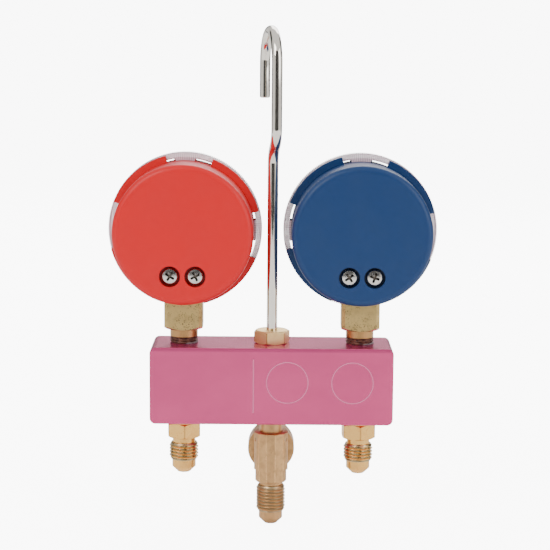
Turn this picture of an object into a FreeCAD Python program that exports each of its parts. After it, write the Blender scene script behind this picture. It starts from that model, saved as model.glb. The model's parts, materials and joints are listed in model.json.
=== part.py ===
"""Two-gauge refrigerant manifold with ball valves, a swivelling hook and three flare hose ports.

Millimetres. The origin is on the centre hose port's axis, at the outer end of its thread. +Z runs up through
the block to the hook, -Y is the plain back with the case screws, and +Y is the side with the dials and valve
levers. The high-pressure side is at -X and the low-pressure side is at +X. Angles on the gauges are in degrees
from +X towards +Z, so they grow clockwise for someone who reads the dials.
"""
import FreeCAD
import Part
import math
import os

from FreeCAD import Vector

# Block
block_end_margin = 12.25
block_depth = 26.0
block_height = 29.0
block_corner_radius = 2.2
block_edge_chamfer = 0.5
passage_radius = 2.4
thread_clearance = 0.03
plug_radius = 3.9
plug_length = 6.0
plug_recess = 0.4
plug_key = 4.0
plug_key_depth = 3.2

# Flare hose ports
flare_thread_radius = 5.556
flare_thread_chamfer = 0.6
flare_nose_radius = 4.5
flare_nose_length = 2.8
flare_tip_radius = 2.3
flare_bore_radius = 2.0
flare_groove_radius = 4.3
shank_radius = 5.15
shank_length = 8.5
shank_hole_depth = 9.0

# Side hose fittings
side_collar_radius = 5.95
side_collar_length = 1.8
side_hex_across_flats = 12.0
side_hex_length = 5.7
side_hex_turn = 95.0
side_groove_length = 2.1
side_thread_length = 6.6

# Centre hose fitting with the sight glass
centre_thread_length = 10.1
centre_relief_length = 1.4
centre_barrel_across_flats = 11.9
centre_barrel_length = 4.8
centre_barrel_chamfer_angle = 50.0
centre_body_across_flats = 12.9
centre_body_sides = 12
centre_body_share = 0.95
centre_body_length = 14.6
centre_neck_radius = 4.4
centre_neck_length = 5.3
boss_wall = 2.25
boss_back_y = 3.5
boss_front_y = 13.5
boss_edge_chamfer = 0.6
boss_below_block = 13.0
chamber_radius = 4.6
glass_radius = 6.6
glass_thickness = 3.0
gasket_thickness = 0.8
ring_thread_length = 1.6
ring_flange_radius = 8.6
ring_flange_length = 1.8
ring_flange_chamfer = 0.4
ring_bore_radius = 5.3
ring_notch_width = 1.6
ring_notch_depth = 0.9
seat_clearance = 0.05

# Hook and its nut
wire_radius = 2.0
wire_end_chamfer = 0.4
hook_nut_across_flats = 12.0
hook_nut_length = 5.0
hook_nut_turn_angle = 14.0
hook_nut_shank_radius = 5.0
hook_nut_shank_length = 6.0
hook_head_radius = 3.6
hook_head_length = 1.6
hook_swivel_clearance = 0.06
hook_end_play = 0.15
hook_crank_drop = 3.2
hook_crank_height = 13.0
hook_crank_offset = 6.5
hook_leg_length = 24.0
hook_loop_radius = 12.0
hook_tip_length = 13.4
hook_turn_angle = 11.0

# Ball valves
ball_radius = 4.6
seat_depth = 2.4
pocket_back_gap = 1.0
valve_seat_radius = 4.2
stem_radius = 2.5
stem_clearance = 0.06
stem_flange_radius = 3.6
stem_flange_length = 1.2
stem_foot_radius = 2.3
tongue_width = 1.9
tongue_length = 3.4
tongue_depth = 1.3
bonnet_hex_length = 3.6
bonnet_ball_gap = 1.0
packing_radius = 4.2
packing_length = 3.0
packing_gap = 0.1
lever_hub_radius = 7.6
lever_hub_length = 9.0
lever_hub_round = 1.5
lever_gap = 0.4
lever_reach = 27.4
lever_tip_radius = 3.6
lever_root_half_width = 5.2
lever_thickness = 5.0
lever_set_back = 1.6
lever_edge_chamfer = 0.8
lever_square = 3.6
lever_floor = 2.2
lever_screw_head_radius = 3.0
lever_screw_head_length = 1.8
lever_screw_radius = 1.5
lever_screw_length = 6.0

# Gauge case
gauge_height = 42.0
case_radius = 26.2
case_wall = 1.8
case_back_y = -13.0
case_pointer_clearance = 1.5
case_back_thickness = 2.0
case_back_fillet = 2.4
flange_width = 2.7
flange_thickness = 2.6
flange_front_y = 7.2
flange_sector_angle = 53.5
flange_first_angle = 41.5
lug_height = 0.8
lug_angle = 18.0
lug_thickness = 1.7
lug_count = 4

# Gauge cover
cover_wall = 2.12
cover_seat_gap = 0.3
cover_window_thickness = 2.0
cover_edge_fillet = 1.2
cover_lug_angle = 16.0
cover_lug_thickness = 0.88
cover_clearance = 0.08
cover_lug_gap = 0.12
cover_gasket_thickness = 1.4
cover_gasket_gap = 0.1
cover_wire_gap = 2.05

# Case screws
screw_pitch = 9.4
screw_rise = 0.45
screw_recess_radius = 3.9
screw_recess_depth = 3.0
screw_boss_wall = 1.2
screw_head_radius = 2.9
screw_head_length = 2.1
screw_radius = 1.5
screw_length = 6.0
screw_clearance = 0.15

# Gauge socket
stem_square = 14.3
stem_corner_chamfer = 1.3
stem_shoulder_height = 5.5
stem_neck_radius = 4.9
stem_band_radius = 5.25
stem_band_length = 2.9
stem_chamfer_angle = 30.0
stem_slot_clearance = 0.15
stem_bore_radius = 1.5
socket_case_gap = 1.37
socket_head_margin = 2.0
socket_front_y = 0.0
socket_port_radius = 0.7
socket_riser_y = -2.0
socket_port_y = -2.7
socket_pocket_angle = 30.0

# Bourdon tube
tube_post_gap = 0.8
tube_thickness = 2.2
tube_edge_chamfer = 0.75
tube_width = 5.6
tube_centre_y = -3.4
tube_root_angle = -62.0
tube_root_depth = 2.3
tube_tip_angle = 186.0
tip_length = 3.2
tip_lug_back_y = -2.0
tip_lug_half_width = 1.1
tip_pin_radius = 0.5
tip_pin_inset = 2.0

# Movement
gear_module = 0.2
pinion_teeth = 12
sector_full_teeth = 96
sector_addendum_share = 0.7
dedendum_share = 1.25
pressure_angle = 20.0
gear_backlash = 0.05
pointer_travel_angle = 270.0
low_vacuum_angle = 24.0
plate_thickness = 1.0
plate_half_width = 8.2
plate_top = 4.6
plate_below_pivot = 5.0
plate_corner = 2.0
pillar_radius = 1.3
pillar_side = 6.2
pillar_below_pivot = 2.8
pillar_high = 2.4
pivot_radius = 0.5
pivot_clearance = 0.06
arbor_radius = 0.62
arbor_end_play = 0.1
pinion_plate_gap = 0.4
pinion_length = 1.9
sector_plate_gap = 0.9
sector_thickness = 1.0
sector_pivot_angle = 245.0
sector_margin_teeth = 2
sector_hub_radius = 2.0
sector_window_inset = 1.3
sector_tail_length = 5.5
sector_tail_angle = 230.0
sector_tail_radius = 1.2
tail_pin_radius = 0.5
link_gap = 0.15
link_thickness = 0.7
link_eye_radius = 1.25
link_half_width = 0.7
link_slot_length = 3.6
link_slot_side = 0.4
link_slot_wall = 0.5
hairspring_link_gap = 0.55
hairspring_plate_gap = 0.7
hairspring_width = 0.6
hairspring_strip = 0.16
hairspring_inner = 1.2
hairspring_pitch = 0.7
hairspring_half_turns = 7
hairspring_stud_radius = 0.45
movement_screw_x = 3.0
movement_screw_below_pivot = 3.2
movement_screw_radius = 0.8
movement_screw_head_radius = 1.3
movement_screw_head_length = 0.7
movement_screw_length = 3.5

# Dial and pointer
dial_case_gap = 0.3
dial_plate_gap = 1.4
dial_thickness = 0.6
dial_hole_radius = 2.2
dial_post_radius = 2.2
dial_post_margin = 2.8
dial_screw_radius = 0.8
dial_screw_head_radius = 1.6
dial_screw_head_length = 0.8
dial_screw_length = 4.0
stop_pin_radius = 0.5
stop_pin_margin = 3.1
stop_pin_angle = -54.0
stop_pin_length = 2.6
pointer_gap = 1.6
pointer_thickness = 0.5
pointer_margin = 5.5
pointer_tail = 7.0
pointer_hub_radius = 2.4
pointer_hub_length = 1.8
pointer_root_half_width = 1.1
pointer_tip_half_width = 0.25
pointer_tail_half_width = 1.7
scale_start_angle = -45.0

# Hexagons
nut_chamfer_angle = 30.0
nut_flat_share = 0.98

# Heights along Y inside the gauges, from the sizes above
rear_plate_front_y = socket_front_y + plate_thickness
pinion_back_y = rear_plate_front_y + pinion_plate_gap
pinion_front_y = pinion_back_y + pinion_length
sector_y = rear_plate_front_y + sector_plate_gap
sector_front_y = sector_y + sector_thickness
link_y = sector_front_y + link_gap
link_front_y = link_y + link_thickness
hairspring_y = link_front_y + hairspring_link_gap
front_plate_y = hairspring_y + hairspring_width + hairspring_plate_gap
dial_y = front_plate_y + plate_thickness + dial_plate_gap
dial_front_y = dial_y + dial_thickness
pointer_y = dial_front_y + pointer_gap
pointer_front_y = pointer_y + pointer_hub_length
case_front_y = pointer_front_y + case_pointer_clearance
cover_back_y = flange_front_y + cover_seat_gap
lug_back_y = cover_back_y + cover_lug_thickness + cover_lug_gap
lug_front_y = lug_back_y + lug_thickness
window_back_y = case_front_y + cover_gasket_thickness + cover_gasket_gap
cover_front_y = window_back_y + cover_window_thickness

# Radii inside and around the gauges, from the sizes above
case_inner_radius = case_radius - case_wall
flange_radius = case_radius + flange_width
lug_radius = case_radius + lug_height
cover_radius = lug_radius + cover_clearance + cover_wall
dial_radius = case_inner_radius - dial_case_gap
dial_post_offset = case_inner_radius - dial_post_margin
tube_radius = dial_post_offset - dial_post_radius - tube_post_gap - tube_thickness / 2
pointer_reach = dial_radius - pointer_margin
stop_pin_offset = pointer_reach - stop_pin_margin
pinion_pitch_radius = gear_module * pinion_teeth / 2
sector_pitch_radius = gear_module * sector_full_teeth / 2
gear_centres = pinion_pitch_radius + sector_pitch_radius
gear_ratio = sector_full_teeth / pinion_teeth
sector_pivot_z = gear_centres * math.sin(math.radians(sector_pivot_angle))
plate_bottom = sector_pivot_z - plate_below_pivot
pillar_low = sector_pivot_z - pillar_below_pivot
movement_screw_z = sector_pivot_z - movement_screw_below_pivot

# The socket's head: its top from the movement's screws, its width from the tube, its foot from the case
tube_root_drop = -tube_radius * math.sin(math.radians(tube_root_angle))
socket_half_width = tube_radius * math.cos(math.radians(tube_root_angle)) + tube_root_depth
socket_top_drop = -movement_screw_z - socket_head_margin
socket_bottom_drop = math.sqrt((case_inner_radius - socket_case_gap) ** 2 - socket_half_width ** 2)
screw_drop = (socket_top_drop + socket_bottom_drop) / 2 - screw_rise

# Places worked out from the sizes above
block_bottom = (centre_thread_length + centre_relief_length + centre_barrel_length
                + centre_body_length + centre_neck_length)
block_top = block_bottom + block_height
block_mid = block_bottom + block_height / 2
block_front_y = block_depth / 2
port_x = wire_radius + cover_wire_gap + cover_radius
block_width = 2 * (port_x + block_end_margin)
valve_offset = port_x / 2
pocket_radius = ball_radius + seat_depth
gauge_z = block_top + gauge_height
loop_z = gauge_z + cover_radius - hook_crank_drop + hook_crank_height + hook_leg_length
boss_z = block_bottom - boss_below_block
boss_radius = glass_radius + seat_clearance + boss_wall
glass_recess = gasket_thickness + glass_thickness + ring_thread_length
sides = {"high": -1, "low": 1}
AXIS = {"x": Vector(1, 0, 0), "y": Vector(0, 1, 0), "z": Vector(0, 0, 1)}


def rod(axis, radius, low, high, at=(0, 0, 0)):
    """A cylinder along an axis letter, from low to high on that axis, through the point at."""
    start = Vector(*at)
    setattr(start, axis, low)
    return Part.makeCylinder(radius, high - low, start, AXIS[axis])


def pipe(axis, outer, inner, low, high, at=(0, 0, 0)):
    """A round pipe along an axis letter."""
    return rod(axis, outer, low, high, at).cut(rod(axis, inner, low, high, at))


def slab(x, y, z):
    """A box given by its (low, high) pair on each axis."""
    return Part.makeBox(x[1] - x[0], y[1] - y[0], z[1] - z[0], Vector(x[0], y[0], z[0]))


def turned(axis, profile, at=(0, 0, 0)):
    """A solid of revolution from (radius, height) corners, turned about an axis letter through the point at."""
    if axis == "z":
        corners = [Vector(r, 0, h) for r, h in profile]
    else:
        corners = [Vector(r, h, 0) for r, h in profile]
    face = Part.Face(Part.makePolygon(corners + corners[:1]))
    made = face.revolve(Vector(0, 0, 0), AXIS[axis], 360)
    made.translate(Vector(*at))
    return made


def plate_y(corners, low, high):
    """A flat plate from (x, z) corners, between two heights on Y."""
    points = [Vector(x, low, z) for x, z in corners]
    face = Part.Face(Part.makePolygon(points + points[:1]))
    return face.extrude(Vector(0, high - low, 0))


def polar(radius, degrees, centre=(0.0, 0.0)):
    """The (x, z) point at a radius and an angle from +X towards +Z, about a centre."""
    a = math.radians(degrees)
    return centre[0] + radius * math.cos(a), centre[1] + radius * math.sin(a)


def ring_sector(outer, inner, middle, width, low, high):
    """A part of a flat ring about Y, centred on an angle and as wide as the given angle."""
    ring = pipe("y", outer, inner, low, high)
    start = middle - width / 2
    end = middle + width / 2
    far = 2 * outer
    corners = [(0, 0), polar(far, start), polar(far, middle), polar(far, end)]
    return ring.common(plate_y(corners, low, high))


def prism(count, across_flats, low, high, turn=0.0):
    """A regular prism about Z, with a corner at the angle turn from +X."""
    radius = across_flats / 2 / math.cos(math.pi / count)
    corners = []
    for i in range(count):
        a = math.radians(turn) + 2 * math.pi * i / count
        corners.append(Vector(radius * math.cos(a), radius * math.sin(a), low))
    face = Part.Face(Part.makePolygon(corners + corners[:1]))
    return face.extrude(Vector(0, 0, high - low))


def turned_prism(count, across_flats, low, high, turn, top, bottom):
    """A prism about Z whose ends are turned to a cone, each given as (share of the flats, angle) or None."""
    corner = across_flats / 2 / math.cos(math.pi / count)

    def end(height, way, given):
        if given is None:
            return [(2 * corner, height)]
        share, angle = given
        flat = across_flats / 2 * share
        rise = (2 * corner - flat) * math.tan(math.radians(angle))
        return [(flat, height), (2 * corner, height + way * rise)]

    rising = plain_cone(end(low, 1, bottom), low, high)
    falling = plain_cone(end(high, -1, top), high, low)
    return prism(count, across_flats, low, high, turn).common(rising).common(falling)


def plain_cone(end, height, far):
    """A turned solid that has the given end corners at one height and is as wide as they reach at the other."""
    widest = end[-1][0]
    past = 2 * far - height + math.copysign(widest, far - height)
    return turned("z", [(0, height)] + end + [(widest, past), (0, past)])


def nut_prism(across_flats, low, high, turn=0.0, top=True, bottom=True):
    """A hexagon about Z whose corners are turned off at its ends."""
    given = (nut_flat_share, nut_chamfer_angle)
    return turned_prism(6, across_flats, low, high, turn, given if top else None, given if bottom else None)


def moved(shape, x=0.0, y=0.0, z=0.0):
    """A copy moved by the given distances."""
    made = shape.copy()
    made.translate(Vector(x, y, z))
    return made


def stood_along_y(shape):
    """A copy whose +Z axis points along +Y."""
    made = shape.copy()
    made.rotate(Vector(0, 0, 0), Vector(1, 0, 0), -90)
    return made


def turned_on_y(shape, degrees, centre=(0.0, 0.0)):
    """A copy turned about Y through an (x, z) centre, from +X towards +Z."""
    made = shape.copy()
    made.rotate(Vector(centre[0], 0, centre[1]), Vector(0, -1, 0), degrees)
    return made


def joined(shapes):
    """One solid from several that touch or overlap."""
    made = shapes[0]
    for shape in shapes[1:]:
        made = made.fuse(shape)
    return made.removeSplitter()


def manifold_block():
    """The drilled bar: three hose ports below, two gauge ports and the hook's hole above, two valve pockets."""
    half = block_width / 2
    bar = slab((-half, half), (-block_front_y, block_front_y), (block_bottom, block_top))
    uprights = [e for e in bar.Edges if e.BoundBox.YLength > block_depth / 2]
    bar = bar.makeFillet(block_corner_radius, uprights)
    rims = [e for e in bar.Edges if e.BoundBox.YLength < block_edge_chamfer]
    bar = bar.makeChamfer(block_edge_chamfer, rims)
    shank_hole = shank_radius + thread_clearance
    neck_hole = stem_neck_radius + thread_clearance
    hook_hole = hook_nut_shank_radius + thread_clearance
    hook_hole_depth = hook_nut_shank_length + hook_end_play + hook_head_length + hook_end_play
    plug_hole = plug_radius + thread_clearance
    along = (0, 0, block_mid)
    drills = [
        rod("x", passage_radius, -half, half, along),
        rod("x", plug_hole, -half, -half + plug_length, along),
        rod("x", plug_hole, half - plug_length, half, along),
        rod("z", passage_radius, block_bottom, block_mid),
        rod("z", shank_hole, block_bottom, block_bottom + shank_hole_depth),
        rod("z", hook_hole, block_top - hook_hole_depth, block_top),
    ]
    for side in sides.values():
        at = (side * port_x, 0, 0)
        drills.append(rod("z", passage_radius, block_bottom, block_top, at))
        drills.append(rod("z", shank_hole, block_bottom, block_bottom + shank_hole_depth, at))
        drills.append(rod("z", neck_hole, block_top - shank_hole_depth, block_top, at))
        pocket_at = (side * valve_offset, 0, block_mid)
        drills.append(rod("y", pocket_radius, -ball_radius - pocket_back_gap, block_front_y, pocket_at))
    for drill in drills:
        bar = bar.cut(drill)
    return bar


def passage_plugs():
    """Two set-screw plugs with hexagon sockets, one in each end of the cross passage."""
    plugs = []
    for side in sides.values():
        outer = block_width / 2 - plug_recess
        inner = block_width / 2 - plug_length
        body = rod("z", plug_radius, inner, outer)
        key = prism(6, plug_key, outer - plug_key_depth, outer)
        plug = body.cut(key)
        plug.rotate(Vector(0, 0, 0), Vector(0, 1, 0), side * 90)
        plugs.append(moved(plug, z=block_mid))
    return Part.makeCompound(plugs)


def flare_end(top, thread_length):
    """The profile of a flare port below a height: thread, nose and 45 degree cone, down to the open tip."""
    end = top - thread_length
    nose = end - flare_nose_length
    tip = nose - (flare_nose_radius - flare_tip_radius)
    return [
        (flare_thread_radius - flare_thread_chamfer, top),
        (flare_thread_radius, top - flare_thread_chamfer),
        (flare_thread_radius, end),
        (flare_nose_radius, end),
        (flare_nose_radius, nose),
        (flare_tip_radius, tip),
        (0, tip),
    ], tip


def side_hose_fitting(side):
    """A short flare fitting: shank in the block, washer face, hexagon, groove and flare end."""
    collar_end = block_bottom - side_collar_length
    hex_end = collar_end - side_hex_length
    groove_end = hex_end - side_groove_length
    flare, tip = flare_end(groove_end, side_thread_length)
    profile = [
        (0, block_bottom + shank_length),
        (shank_radius, block_bottom + shank_length),
        (shank_radius, block_bottom),
        (side_collar_radius, block_bottom),
        (side_collar_radius, collar_end),
        (flare_groove_radius, collar_end),
        (flare_groove_radius, groove_end),
    ]
    body = turned("z", profile + flare)
    body = joined([body, nut_prism(side_hex_across_flats, hex_end, collar_end, side_hex_turn)])
    body = body.cut(rod("z", flare_bore_radius, tip, block_bottom + shank_length))
    return moved(body, x=side * port_x)


def centre_fitting():
    """The forged centre fitting: neck, faceted body with the sight-glass boss, round barrel and flare end."""
    body_top = block_bottom - centre_neck_length
    body_end = body_top - centre_body_length
    barrel_end = body_end - centre_barrel_length
    relief_end = barrel_end - centre_relief_length
    flare, tip = flare_end(relief_end, centre_thread_length)
    profile = [
        (0, block_bottom + shank_length),
        (shank_radius, block_bottom + shank_length),
        (shank_radius, block_bottom),
        (centre_neck_radius, block_bottom),
        (centre_neck_radius, body_end),
        (flare_groove_radius, body_end),
        (flare_groove_radius, relief_end),
    ]
    core = turned("z", profile + flare)
    count = centre_body_sides
    corner_first = 180 / count
    body = turned_prism(count, centre_body_across_flats, body_end, body_top, corner_first,
                        (centre_body_share, nut_chamfer_angle), None)
    barrel = turned_prism(count, centre_barrel_across_flats, barrel_end, body_end, corner_first, None,
                          (centre_body_share, centre_barrel_chamfer_angle))
    boss = turned("y", [
        (0, boss_back_y),
        (boss_radius, boss_back_y),
        (boss_radius, boss_front_y - boss_edge_chamfer),
        (boss_radius - boss_edge_chamfer, boss_front_y),
        (0, boss_front_y),
    ], (0, 0, boss_z))
    made = joined([core, body, barrel, boss])
    made = made.cut(rod("z", flare_bore_radius, tip, block_bottom + shank_length))
    recess = rod("y", glass_radius + seat_clearance, boss_front_y - glass_recess, boss_front_y, (0, 0, boss_z))
    chamber = rod("y", chamber_radius, 0, boss_front_y, (0, 0, boss_z))
    return made.cut(recess).cut(chamber)


def sight_glass_parts():
    """The gasket, glass and threaded ring that stack up in the boss."""
    at = (0, 0, boss_z)
    floor = boss_front_y - glass_recess
    glass_y = floor + gasket_thickness
    ring_y = glass_y + glass_thickness
    ring_front = boss_front_y + ring_flange_length
    gasket = pipe("y", glass_radius, ring_bore_radius, floor, glass_y, at)
    glass = rod("y", glass_radius, glass_y, ring_y, at)
    ring = turned("y", [
        (ring_bore_radius, ring_y),
        (glass_radius, ring_y),
        (glass_radius, boss_front_y),
        (ring_flange_radius, boss_front_y),
        (ring_flange_radius, ring_front - ring_flange_chamfer),
        (ring_flange_radius - ring_flange_chamfer, ring_front),
        (ring_bore_radius, ring_front),
    ], at)
    half = ring_notch_width / 2
    notch_y = (ring_front - ring_notch_depth, ring_front)
    notch = slab((-boss_radius, boss_radius), notch_y, (boss_z - half, boss_z + half))
    return gasket, glass, ring.cut(notch)


def hook_nut():
    """The hexagon that holds the hook: it screws into the block, and the wire turns in its bore."""
    hexagon = nut_prism(hook_nut_across_flats, block_top, block_top + hook_nut_length, hook_nut_turn_angle)
    shank = rod("z", hook_nut_shank_radius, block_top - hook_nut_shank_length, block_top)
    bore = rod("z", wire_radius + hook_swivel_clearance, block_top - hook_nut_shank_length,
               block_top + hook_nut_length)
    return joined([hexagon, shank]).cut(bore)


def wire_run(start, end):
    """A straight stretch of the hook's wire between two (y, z) points."""
    way = Vector(0, end[0] - start[0], end[1] - start[1])
    return Part.makeCylinder(wire_radius, way.Length, Vector(0, *start), way)


def wire_bend(centre, start, degrees):
    """A bend of the hook's wire from a (y, z) point about a (y, z) centre, from +Y towards +Z."""
    spoke = Vector(0, start[0] - centre[0], start[1] - centre[1])
    across = Vector(1, 0, 0).cross(spoke)
    disc = Part.Face(Part.Wire([Part.makeCircle(wire_radius, Vector(0, *start), across)]))
    return disc.revolve(Vector(0, *centre), Vector(1, 0, 0), degrees)


def hanging_hook():
    """The bent wire: a headed straight end, a crank, a straight leg, a half-round loop and a short tip."""
    head_top = block_top - hook_nut_shank_length - hook_end_play
    crank_low = gauge_z + cover_radius - hook_crank_drop
    crank_high = crank_low + hook_crank_height
    offset = hook_crank_offset
    bend = (offset ** 2 + hook_crank_height ** 2) / (4 * offset)
    turn = math.degrees(math.asin(hook_crank_height / 2 / bend))
    far = 2 * hook_loop_radius - offset
    tip_z = loop_z - hook_tip_length
    wire = joined([
        wire_run((0, head_top), (0, crank_low)),
        wire_bend((-bend, crank_low), (0, crank_low), turn),
        wire_bend((bend - offset, crank_high), (-offset, crank_high), turn),
        wire_run((-offset, crank_high), (-offset, loop_z)),
        wire_bend((hook_loop_radius - offset, loop_z), (-offset, loop_z), -180),
        wire_run((far, loop_z), (far, tip_z)),
    ])
    tip_rim = [e for e in wire.Edges if abs(e.BoundBox.ZMax - tip_z) < 0.01 and e.BoundBox.ZLength < 0.01]
    wire = wire.makeChamfer(wire_end_chamfer, tip_rim)
    head = rod("z", hook_head_radius, head_top - hook_head_length, head_top)
    made = joined([wire, head])
    made.rotate(Vector(0, 0, 0), Vector(0, 0, 1), hook_turn_angle)
    return made


def valve_parts(side):
    """The pieces of one ball valve, whose stem runs along +Y from the ball to the lever."""
    at = (side * valve_offset, 0, block_mid)
    x = at[0]
    slot_y = ball_radius - tongue_depth
    bonnet_back = ball_radius + bonnet_ball_gap
    bonnet_front = block_front_y + bonnet_hex_length
    flange_y = bonnet_back + packing_gap
    packing_y = flange_y + stem_flange_length + packing_gap
    packing_end = packing_y + packing_length
    hub_y = bonnet_front + lever_gap
    hub_end = hub_y + lever_hub_length
    head_y = hub_end - lever_screw_head_length
    floor_y = head_y - lever_floor
    half_tongue = tongue_width / 2
    half_square = lever_square / 2

    ball = Part.makeSphere(ball_radius, Vector(*at))
    ball = ball.cut(rod("x", passage_radius, x - ball_radius, x + ball_radius, at))
    slot_half = half_tongue + seat_clearance
    slot = slab((x - ball_radius, x + ball_radius), (slot_y - seat_clearance, ball_radius),
                (block_mid - slot_half, block_mid + slot_half))
    ball = ball.cut(slot)

    seats = []
    barrel = rod("y", pocket_radius, -pocket_radius, pocket_radius, at)
    hollow = Part.makeSphere(ball_radius + seat_clearance, Vector(*at))
    for way in (-1, 1):
        near = min(x, x + way * pocket_radius)
        ring = pipe("x", valve_seat_radius, passage_radius, near, near + pocket_radius, at)
        seats.append(ring.common(barrel).cut(hollow))

    hexagon = stood_along_y(nut_prism(2 * pocket_radius, block_front_y, bonnet_front, 30, bottom=False))
    bonnet = joined([moved(hexagon, x=x, z=block_mid),
                     rod("y", pocket_radius - thread_clearance, bonnet_back, block_front_y, at)])
    bonnet = bonnet.cut(rod("y", packing_radius, bonnet_back, packing_end, at))
    bonnet = bonnet.cut(rod("y", stem_radius + stem_clearance, packing_end, bonnet_front, at))

    tongue = slab((x - tongue_length / 2, x + tongue_length / 2), (slot_y, ball_radius + packing_gap),
                  (block_mid - half_tongue, block_mid + half_tongue))
    square = slab((x - half_square, x + half_square), (hub_y - lever_gap / 2, floor_y),
                  (block_mid - half_square, block_mid + half_square))
    stem = joined([
        tongue,
        rod("y", stem_foot_radius, ball_radius + packing_gap, flange_y, at),
        rod("y", stem_flange_radius, flange_y, flange_y + stem_flange_length, at),
        rod("y", stem_radius, flange_y + stem_flange_length, hub_y - lever_gap / 2, at),
        square,
    ])
    tapped = lever_screw_radius + thread_clearance
    stem = stem.cut(rod("y", tapped, head_y - lever_screw_length - packing_gap, floor_y, at))

    packing = pipe("y", packing_radius, stem_radius + stem_clearance, packing_y, packing_end, at)

    screw = joined([rod("y", lever_screw_head_radius, head_y, hub_end, at),
                    rod("y", lever_screw_radius, head_y - lever_screw_length, head_y, at)])
    return {
        "ball": ball,
        "seats": Part.makeCompound(seats),
        "bonnet": bonnet,
        "stem": stem,
        "packing": packing,
        "lever": valve_lever(side, hub_y, hub_end, floor_y, head_y),
        "lever_screw": screw,
    }


def valve_lever(side, hub_y, hub_end, floor_y, head_y):
    """The moulded lever: a round hub over the stem's square and a tapered handle that points outwards."""
    at = (0, 0, 0)
    hub = rod("y", lever_hub_radius, hub_y, hub_end, at)
    rim = [e for e in hub.Edges if abs(e.BoundBox.YMin - hub_end) < 0.01]
    hub = hub.makeFillet(lever_hub_round, rim)
    tip_x = lever_reach - lever_tip_radius
    blade_y = hub_y + lever_set_back
    blade_end = blade_y + lever_thickness
    angle = math.degrees(math.asin((lever_root_half_width - lever_tip_radius) / tip_x))
    upper = polar(lever_tip_radius, 90 - angle, (tip_x, 0))
    face_points = [(0, -lever_root_half_width), (upper[0], -upper[1]), upper, (0, lever_root_half_width)]
    blade = plate_y(face_points, blade_y, blade_end)
    tip = rod("y", lever_tip_radius, blade_y, blade_end, (tip_x, 0, 0))
    blade = joined([blade, tip])
    rims = [e for e in blade.Edges if e.BoundBox.YLength < 0.01 and e.BoundBox.XMax > 1]
    blade = blade.makeChamfer(lever_edge_chamfer, rims)
    lever = joined([hub, blade])
    half = lever_square / 2 + seat_clearance
    lever = lever.cut(slab((-half, half), (hub_y, floor_y), (-half, half)))
    lever = lever.cut(rod("y", lever_screw_radius + screw_clearance, floor_y, head_y, at))
    lever = lever.cut(rod("y", lever_screw_head_radius + screw_clearance, head_y, hub_end, at))
    if side < 0:
        lever.rotate(Vector(0, 0, 0), Vector(0, 1, 0), 180)
    return moved(lever, x=side * valve_offset, z=block_mid)


def case_screw_places():
    """The (x, z) centres of the two case screws, from the gauge's centre."""
    return [(way * screw_pitch / 2, -screw_drop) for way in (-1, 1)]


def dial_post_places():
    """The (x, z) centres of the two dial posts, from the gauge's centre."""
    return [(way * dial_post_offset, 0.0) for way in (-1, 1)]


def gauge_case():
    """The moulded cup with its castellated flange, bayonet lugs, screw bosses and dial posts."""
    body = rod("y", case_radius, case_back_y, case_front_y)
    rim = [e for e in body.Edges if abs(e.BoundBox.YMax - case_back_y) < 0.01]
    body = body.makeFillet(case_back_fillet, rim)
    inner_y = case_back_y + case_back_thickness
    body = body.cut(rod("y", case_inner_radius, inner_y, case_front_y))
    adds = []
    step = 360 / lug_count
    for i in range(lug_count):
        middle = flange_first_angle + i * step
        adds.append(ring_sector(flange_radius, case_inner_radius + case_wall / 2, middle, flange_sector_angle,
                                flange_front_y - flange_thickness, flange_front_y))
        adds.append(ring_sector(lug_radius, case_inner_radius + case_wall / 2, i * step, lug_angle,
                                lug_back_y, lug_front_y))
    for x, z in case_screw_places():
        adds.append(rod("y", screw_recess_radius + screw_boss_wall, inner_y, -stem_square / 2, (x, 0, z)))
    for x, z in dial_post_places():
        adds.append(rod("y", dial_post_radius, inner_y, dial_y, (x, 0, z)))
        reach = math.copysign(case_inner_radius + case_wall / 2, x)
        half = dial_post_radius / 2
        adds.append(slab((min(x, reach), max(x, reach)), (inner_y, dial_y), (-half, half)))
    body = joined([body] + adds)
    half = stem_square / 2 + stem_slot_clearance
    body = body.cut(slab((-half, half), (-half, half), (-flange_radius, -case_inner_radius + case_wall)))
    recess_floor = case_back_y + screw_recess_depth
    for x, z in case_screw_places():
        body = body.cut(rod("y", screw_recess_radius, case_back_y, recess_floor, (x, 0, z)))
        body = body.cut(rod("y", screw_radius + screw_clearance, recess_floor, 0, (x, 0, z)))
    for x, z in dial_post_places():
        hole = dial_screw_radius + thread_clearance
        body = body.cut(rod("y", hole, dial_y - dial_screw_length, dial_y, (x, 0, z)))
    return body


def gauge_cover():
    """The clear twist-on cover: a skirt with inner lugs behind the case's lugs, and a flat window."""
    outer = rod("y", cover_radius, cover_back_y, cover_front_y)
    rim = [e for e in outer.Edges if abs(e.BoundBox.YMin - cover_front_y) < 0.01]
    outer = outer.makeFillet(cover_edge_fillet, rim)
    body = outer.cut(rod("y", lug_radius + cover_clearance, cover_back_y, window_back_y))
    lugs = []
    for i in range(lug_count):
        lugs.append(ring_sector(lug_radius + (cover_radius - lug_radius) / 2, case_radius + cover_clearance,
                                i * 360 / lug_count, cover_lug_angle, cover_back_y, lug_back_y - cover_lug_gap))
    return joined([body] + lugs)


def cover_gasket():
    """The soft ring between the case's rim and the window."""
    front = case_front_y + cover_gasket_thickness
    return pipe("y", case_radius, case_inner_radius, case_front_y, front)


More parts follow.
